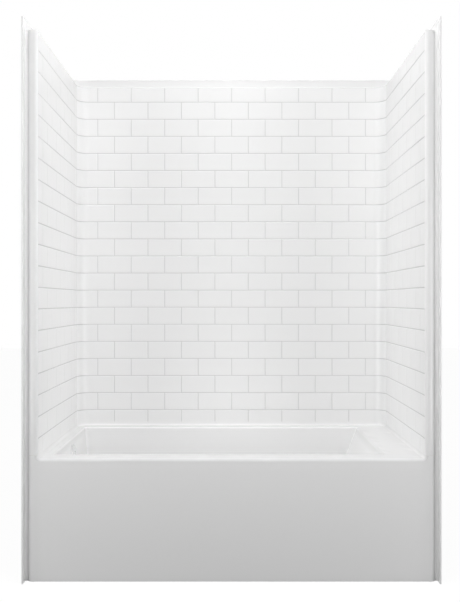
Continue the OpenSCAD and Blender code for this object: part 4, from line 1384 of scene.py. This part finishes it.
@dataclass
class Fittings(Assembly):
    """The chrome pieces that show in the basin: overflow plate, drain flange and stopper cap.

    Attributes:
        overflow: centre of the overflow hole's face.
        gap: space between the overflow plate's skirt and the wall.
        slot_h: height of the skirt's cut.
        slot_turn: half its width round the plate, in radians.
        slot_fade: the part of a turn over which it ends, in radians.
        cross: half the length and half the width of the bars in the drain.
        cross_z: their foot and top.
        boss_r: radius of the boss that joins them.
        boss_more: how far it stands out above and below.
        boss_steps: straight steps round it.
        sharp: angle, in degrees, from which an edge stays sharp.
        steps: straight steps round the other circles.
    """

    overflow: Triple = (-0.662211, 0.0095, 0.392)
    gap: float = 0.0003
    slot_h: float = 0.0031
    slot_turn: float = 0.36
    slot_fade: float = 0.10
    cross: tuple[float, float] = (0.0205, 0.0015)
    cross_z: tuple[float, float] = (0.104, 0.110)
    boss_r: float = 0.008
    boss_more: float = 0.0001
    boss_steps: int = 32
    sharp: float = 50.0
    steps: int = 96

    def _piece(self, name: str, shell: Shell, body: str, node: str) -> bpy.types.Object:
        """Makes a chrome object of a closed shell."""
        mesh = shell.mesh(name, [self.finishes.of(Slot.CHROME)])
        return new_piece(name, mesh, body, node, self.sharp)

    def overflow_plate(self) -> bpy.types.Object:
        """Builds the cupped overflow plate: a turned dome whose skirt is cut away at its lowest point.

        The profile's foot rises from the wall by a smooth step of the angle from the lowest point.
        """
        crown = np.array([(12.0, 8.0), (22.0, 7.95), (29.0, 7.85), (33.0, 7.65), (35.2, 7.2), (36.6, 6.4),
                          (37.3, 5.3), (37.5, 4.0), (37.5, 1.5)]) / 1000.0
        inside = np.array([(35.5, 1.5), (35.5, 3.6), (34.8, 4.8), (33.4, 5.5), (29.0, 5.8), (20.0, 5.98)]) / 1000.0
        outer, inner = turned(crown, self.steps), turned(inside, self.steps)
        off = np.abs((circle(self.steps) + np.pi) % (2.0 * np.pi) - np.pi)
        lift = self.gap + self.slot_h * (1.0 - eased((off - self.slot_turn) / self.slot_fade))
        foot = np.array([(37.5, 0.0), (36.5, -0.2), (35.5, 0.0)]) / 1000.0
        skirt = turned(foot, self.steps) + lift[None, :, None] * UP
        for part in (outer, inner):
            part[..., 2] = np.maximum(part[..., 2], lift)
        surface = self._on_slope(np.concatenate([outer, skirt, inner]))
        shell = Shell()
        shell.grid(surface[::-1], None, True)
        shell.lid(surface[0], self._into_basin())
        shell.lid(surface[-1], -self._into_basin())
        return self._piece("overflow_plate_cup", shell, UNIT, "overflow_plate")

    def _into_basin(self) -> np.ndarray:
        """The direction that the basin's drain end faces."""
        lean = math.radians(self.plan.drain_lean)
        return np.array([math.cos(lean), 0.0, math.sin(lean)])

    def _on_slope(self, surface: np.ndarray) -> np.ndarray:
        """Places made about Z, turned to the slope of the basin's end, with their X pointing down it.

        Args:
            surface: (rows, columns, 3) places.

        Returns:
            The places in the unit.
        """
        out, across = self._into_basin(), np.array([0.0, 1.0, 0.0])
        down = np.array([out[2], 0.0, -out[0]])
        return np.array(self.overflow) + surface @ np.stack([down, across, out])

    def drain_flange(self) -> bpy.types.Object:
        """Builds the drain flange: a turned rim and barrel, with a cross and a boss in its bore."""
        shell = Shell()
        rim = np.array([(20.0, 104.0), (20.0, 134.6), (20.5, 135.6), (21.6, 136.0), (30.0, 136.0), (35.0, 135.7),
                        (37.2, 134.8), (38.0, 133.6), (38.0, 132.6), (24.2, 132.5), (23.8, 131.9), (23.8, 104.6),
                        (23.2, 104.0), (20.0, 104.0)]) / 1000.0
        x, y = self.plan.drain
        shell.grid(turned(rim, self.steps)[::-1] + np.array([x, y, 0.0]), None, True)
        low, high = self.cross_z
        for half_x, half_y in (self.cross, self.cross[::-1]):
            shell.prism(box_loop(x - half_x, x + half_x, y - half_y, y + half_y), low, high)
        boss = arc((x, y), self.boss_r, 0, 360, self.boss_steps)[:-1]
        shell.prism(boss, low - self.boss_more, high + self.boss_more)
        return self._piece("drain_flange_rim", shell, UNIT, "drain_flange")

    def stopper_cap(self) -> bpy.types.Object:
        """Builds the stopper's cap: a turned low dome with a rounded edge."""
        profile = np.array([(7.0, 138.8), (26.8, 138.8), (27.7, 139.2), (28.0, 140.0), (28.0, 141.2), (27.6, 142.2),
                            (26.4, 142.9), (23.0, 143.6), (18.0, 144.2), (12.0, 144.6), (6.0, 144.78), (2.0, 144.8)])
        surface = turned(profile / 1000.0, self.steps) + np.array([*self.plan.drain, 0.0])
        shell = Shell()
        shell.grid(surface, None, True)
        shell.lid(surface[0], -UP)
        shell.lid(surface[-1], UP)
        return self._piece("stopper_cap_dome", shell, STOPPER, "stopper_cap")


# The studio


@dataclass(frozen=True)
class Lamp:
    """A rectangular soft light.

    Attributes:
        name: its name.
        at: its place.
        to: the point that it faces.
        size: its width and height.
        power: its power in watts.
        spread: the angle, in degrees, that its grid lets the light spread to.
        mirrored: whether glossy faces mirror it.
    """

    name: str
    at: Triple
    to: Triple
    size: tuple[float, float]
    power: float
    spread: float = 180.0
    mirrored: bool = False

    def pair(self) -> tuple["Lamp", "Lamp"]:
        """This lamp on the left, and its mirror image on the right."""
        at, to = ((-place[0], *place[1:]) for place in (self.at, self.to))
        return replace(self, name="left_" + self.name), replace(self, name="right_" + self.name, at=at, to=to)

    def hang(self) -> None:
        """Makes the light and turns it to its point."""
        data = bpy.data.lights.new(self.name, "AREA")
        data.shape = "RECTANGLE"
        data.size, data.size_y = self.size
        data.energy = self.power
        data.spread = math.radians(self.spread)
        lamp = placed(self.name, data)
        lamp.location = self.at
        lamp.visible_glossy = self.mirrored
        lamp.rotation_euler = (Vector(self.to) - Vector(self.at)).to_track_quat("-Z", "Y").to_euler()


@dataclass(frozen=True)
class Studio:
    """The camera, the floor, the lights and the white surroundings.

    Attributes:
        camera_at: place of the lens.
        lens: focal length in millimetres on a 36 mm wide sensor.
        shift: sideways shift of the lens.
        ambient: strength of the even light from all round.
        lamps: the soft lights.
        floor: the floor's own grey.
        floor_half: half its width.
        floor_z: its height, just under the unit's foot.
        lift: light that the floor adds for camera and reflections, so that it shows white.
    """

    camera_at: Triple = (0.0, -3.321, 1.027)
    lens: float = 47.757
    shift: float = -0.0024
    ambient: float = 0.273
    lamps: tuple[Lamp, ...] = (
        Lamp("ceiling", (0.0, -0.9, 3.5), (0.0, -0.1, 0.6), (0.8, 1.4), 40.0),
        *Lamp("wing", (-2.7, -1.35, 1.35), (0.71, 0.0, 1.2), (0.6, 2.0), 12.3).pair(),
        *Lamp("bank", (-2.58, -3.3, 0.95), (0.3, 0.0, 1.0), (0.95, 1.9), 21.5, mirrored=True).pair(),
        *Lamp("beam", (-1.5, -3.2, 1.9), (0.71, -0.05, 1.2), (0.6, 1.6), 1.19, 30.0).pair(),
        *Lamp("low", (-1.3, -1.5, 0.5), (-0.6, -0.4, 0.35), (0.5, 0.8), 1.4).pair(),
    )
    floor: float = 0.06
    floor_half: float = 14.0
    floor_z: float = -0.0005
    lift: float = 0.96

    def build(self) -> None:
        """Builds the camera, the lights, the floor and the world."""
        self._camera()
        self._world()
        self._floor()
        for lamp in self.lamps:
            lamp.hang()

    def _camera(self) -> None:
        """Places the camera, level and looking along Y."""
        data = bpy.data.cameras.new("camera")
        data.lens = self.lens
        data.sensor_width = 36.0
        data.shift_x = self.shift
        data.clip_end = 100.0
        camera = placed("camera", data)
        camera.location = self.camera_at
        camera.rotation_euler = (math.radians(90.0), 0.0, 0.0)
        bpy.context.scene.camera = camera

    def _world(self) -> None:
        """Makes the world even light for the object, and white for the camera, for reflections and through glass."""
        world = bpy.data.worlds.new("studio")
        world.use_nodes = True
        bpy.context.scene.world = world
        book = Book("studio", world.node_tree)
        strength = white_share(book) * (1.0 - self.ambient) + self.ambient
        light = book.node("Background", None, {"Color": grey(1.0), "Strength": strength})
        book.node("OutputWorld", None, {"Surface": light})

    def _floor(self) -> None:
        """Lays a pale floor that shows white where nothing shades it."""
        shell = Shell()
        edges = np.linspace(-self.floor_half, self.floor_half, 9)
        shell.grid(flat(np.stack(np.meshgrid(edges, edges), axis=-1), self.floor_z), SKY)
        book = Book("studio_floor")
        paint = book.node("BsdfDiffuse", None, {"Color": grey(self.floor)})
        lift = book.node("Emission", None, {"Color": grey(1.0), "Strength": self.lift})
        plain = book.node("AddShader", None, [paint, lift])
        both = book.node("MixShader", None, [white_share(book), paint, plain])
        book.node("OutputMaterial", None, {"Surface": both})
        placed("studio_floor", shell.mesh("studio_floor", [book.material]))


def white_share(book: Book) -> Wire:
    """1 for rays of the camera, of reflections and through glass, else 0: the largest of the three."""
    path = book.node("LightPath", out="Is Camera Ray")
    outputs = path.socket.node.outputs
    glossy, through = Wire(book, outputs["Is Glossy Ray"]), Wire(book, outputs["Is Transmission Ray"])
    return path.math("MAXIMUM", path.math("MAXIMUM", path, glossy), through)


def main() -> None:
    """Builds the pieces in order and reports each."""
    logging.basicConfig(level=logging.INFO, format="%(message)s")
    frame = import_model()
    bpy.context.scene.view_settings.view_transform = "Standard"
    Studio().build()
    finishes = Finishes().build()
    finishes.dress(frame)
    plan = Plan()
    pieces = [Wall(plan, finishes).back()]
    pieces += [Wall(plan, finishes).end(side) for side in (Side.RIGHT, Side.LEFT)]
    pieces.append(Tub(plan, finishes).build())
    fittings = Fittings(plan, finishes)
    pieces += [fittings.overflow_plate(), fittings.drain_flange(), fittings.stopper_cap()]
    for piece in pieces:
        LOG.info("%s: %d faces", piece.name, len(piece.data.polygons))


if __name__ == "__main__":
    main()
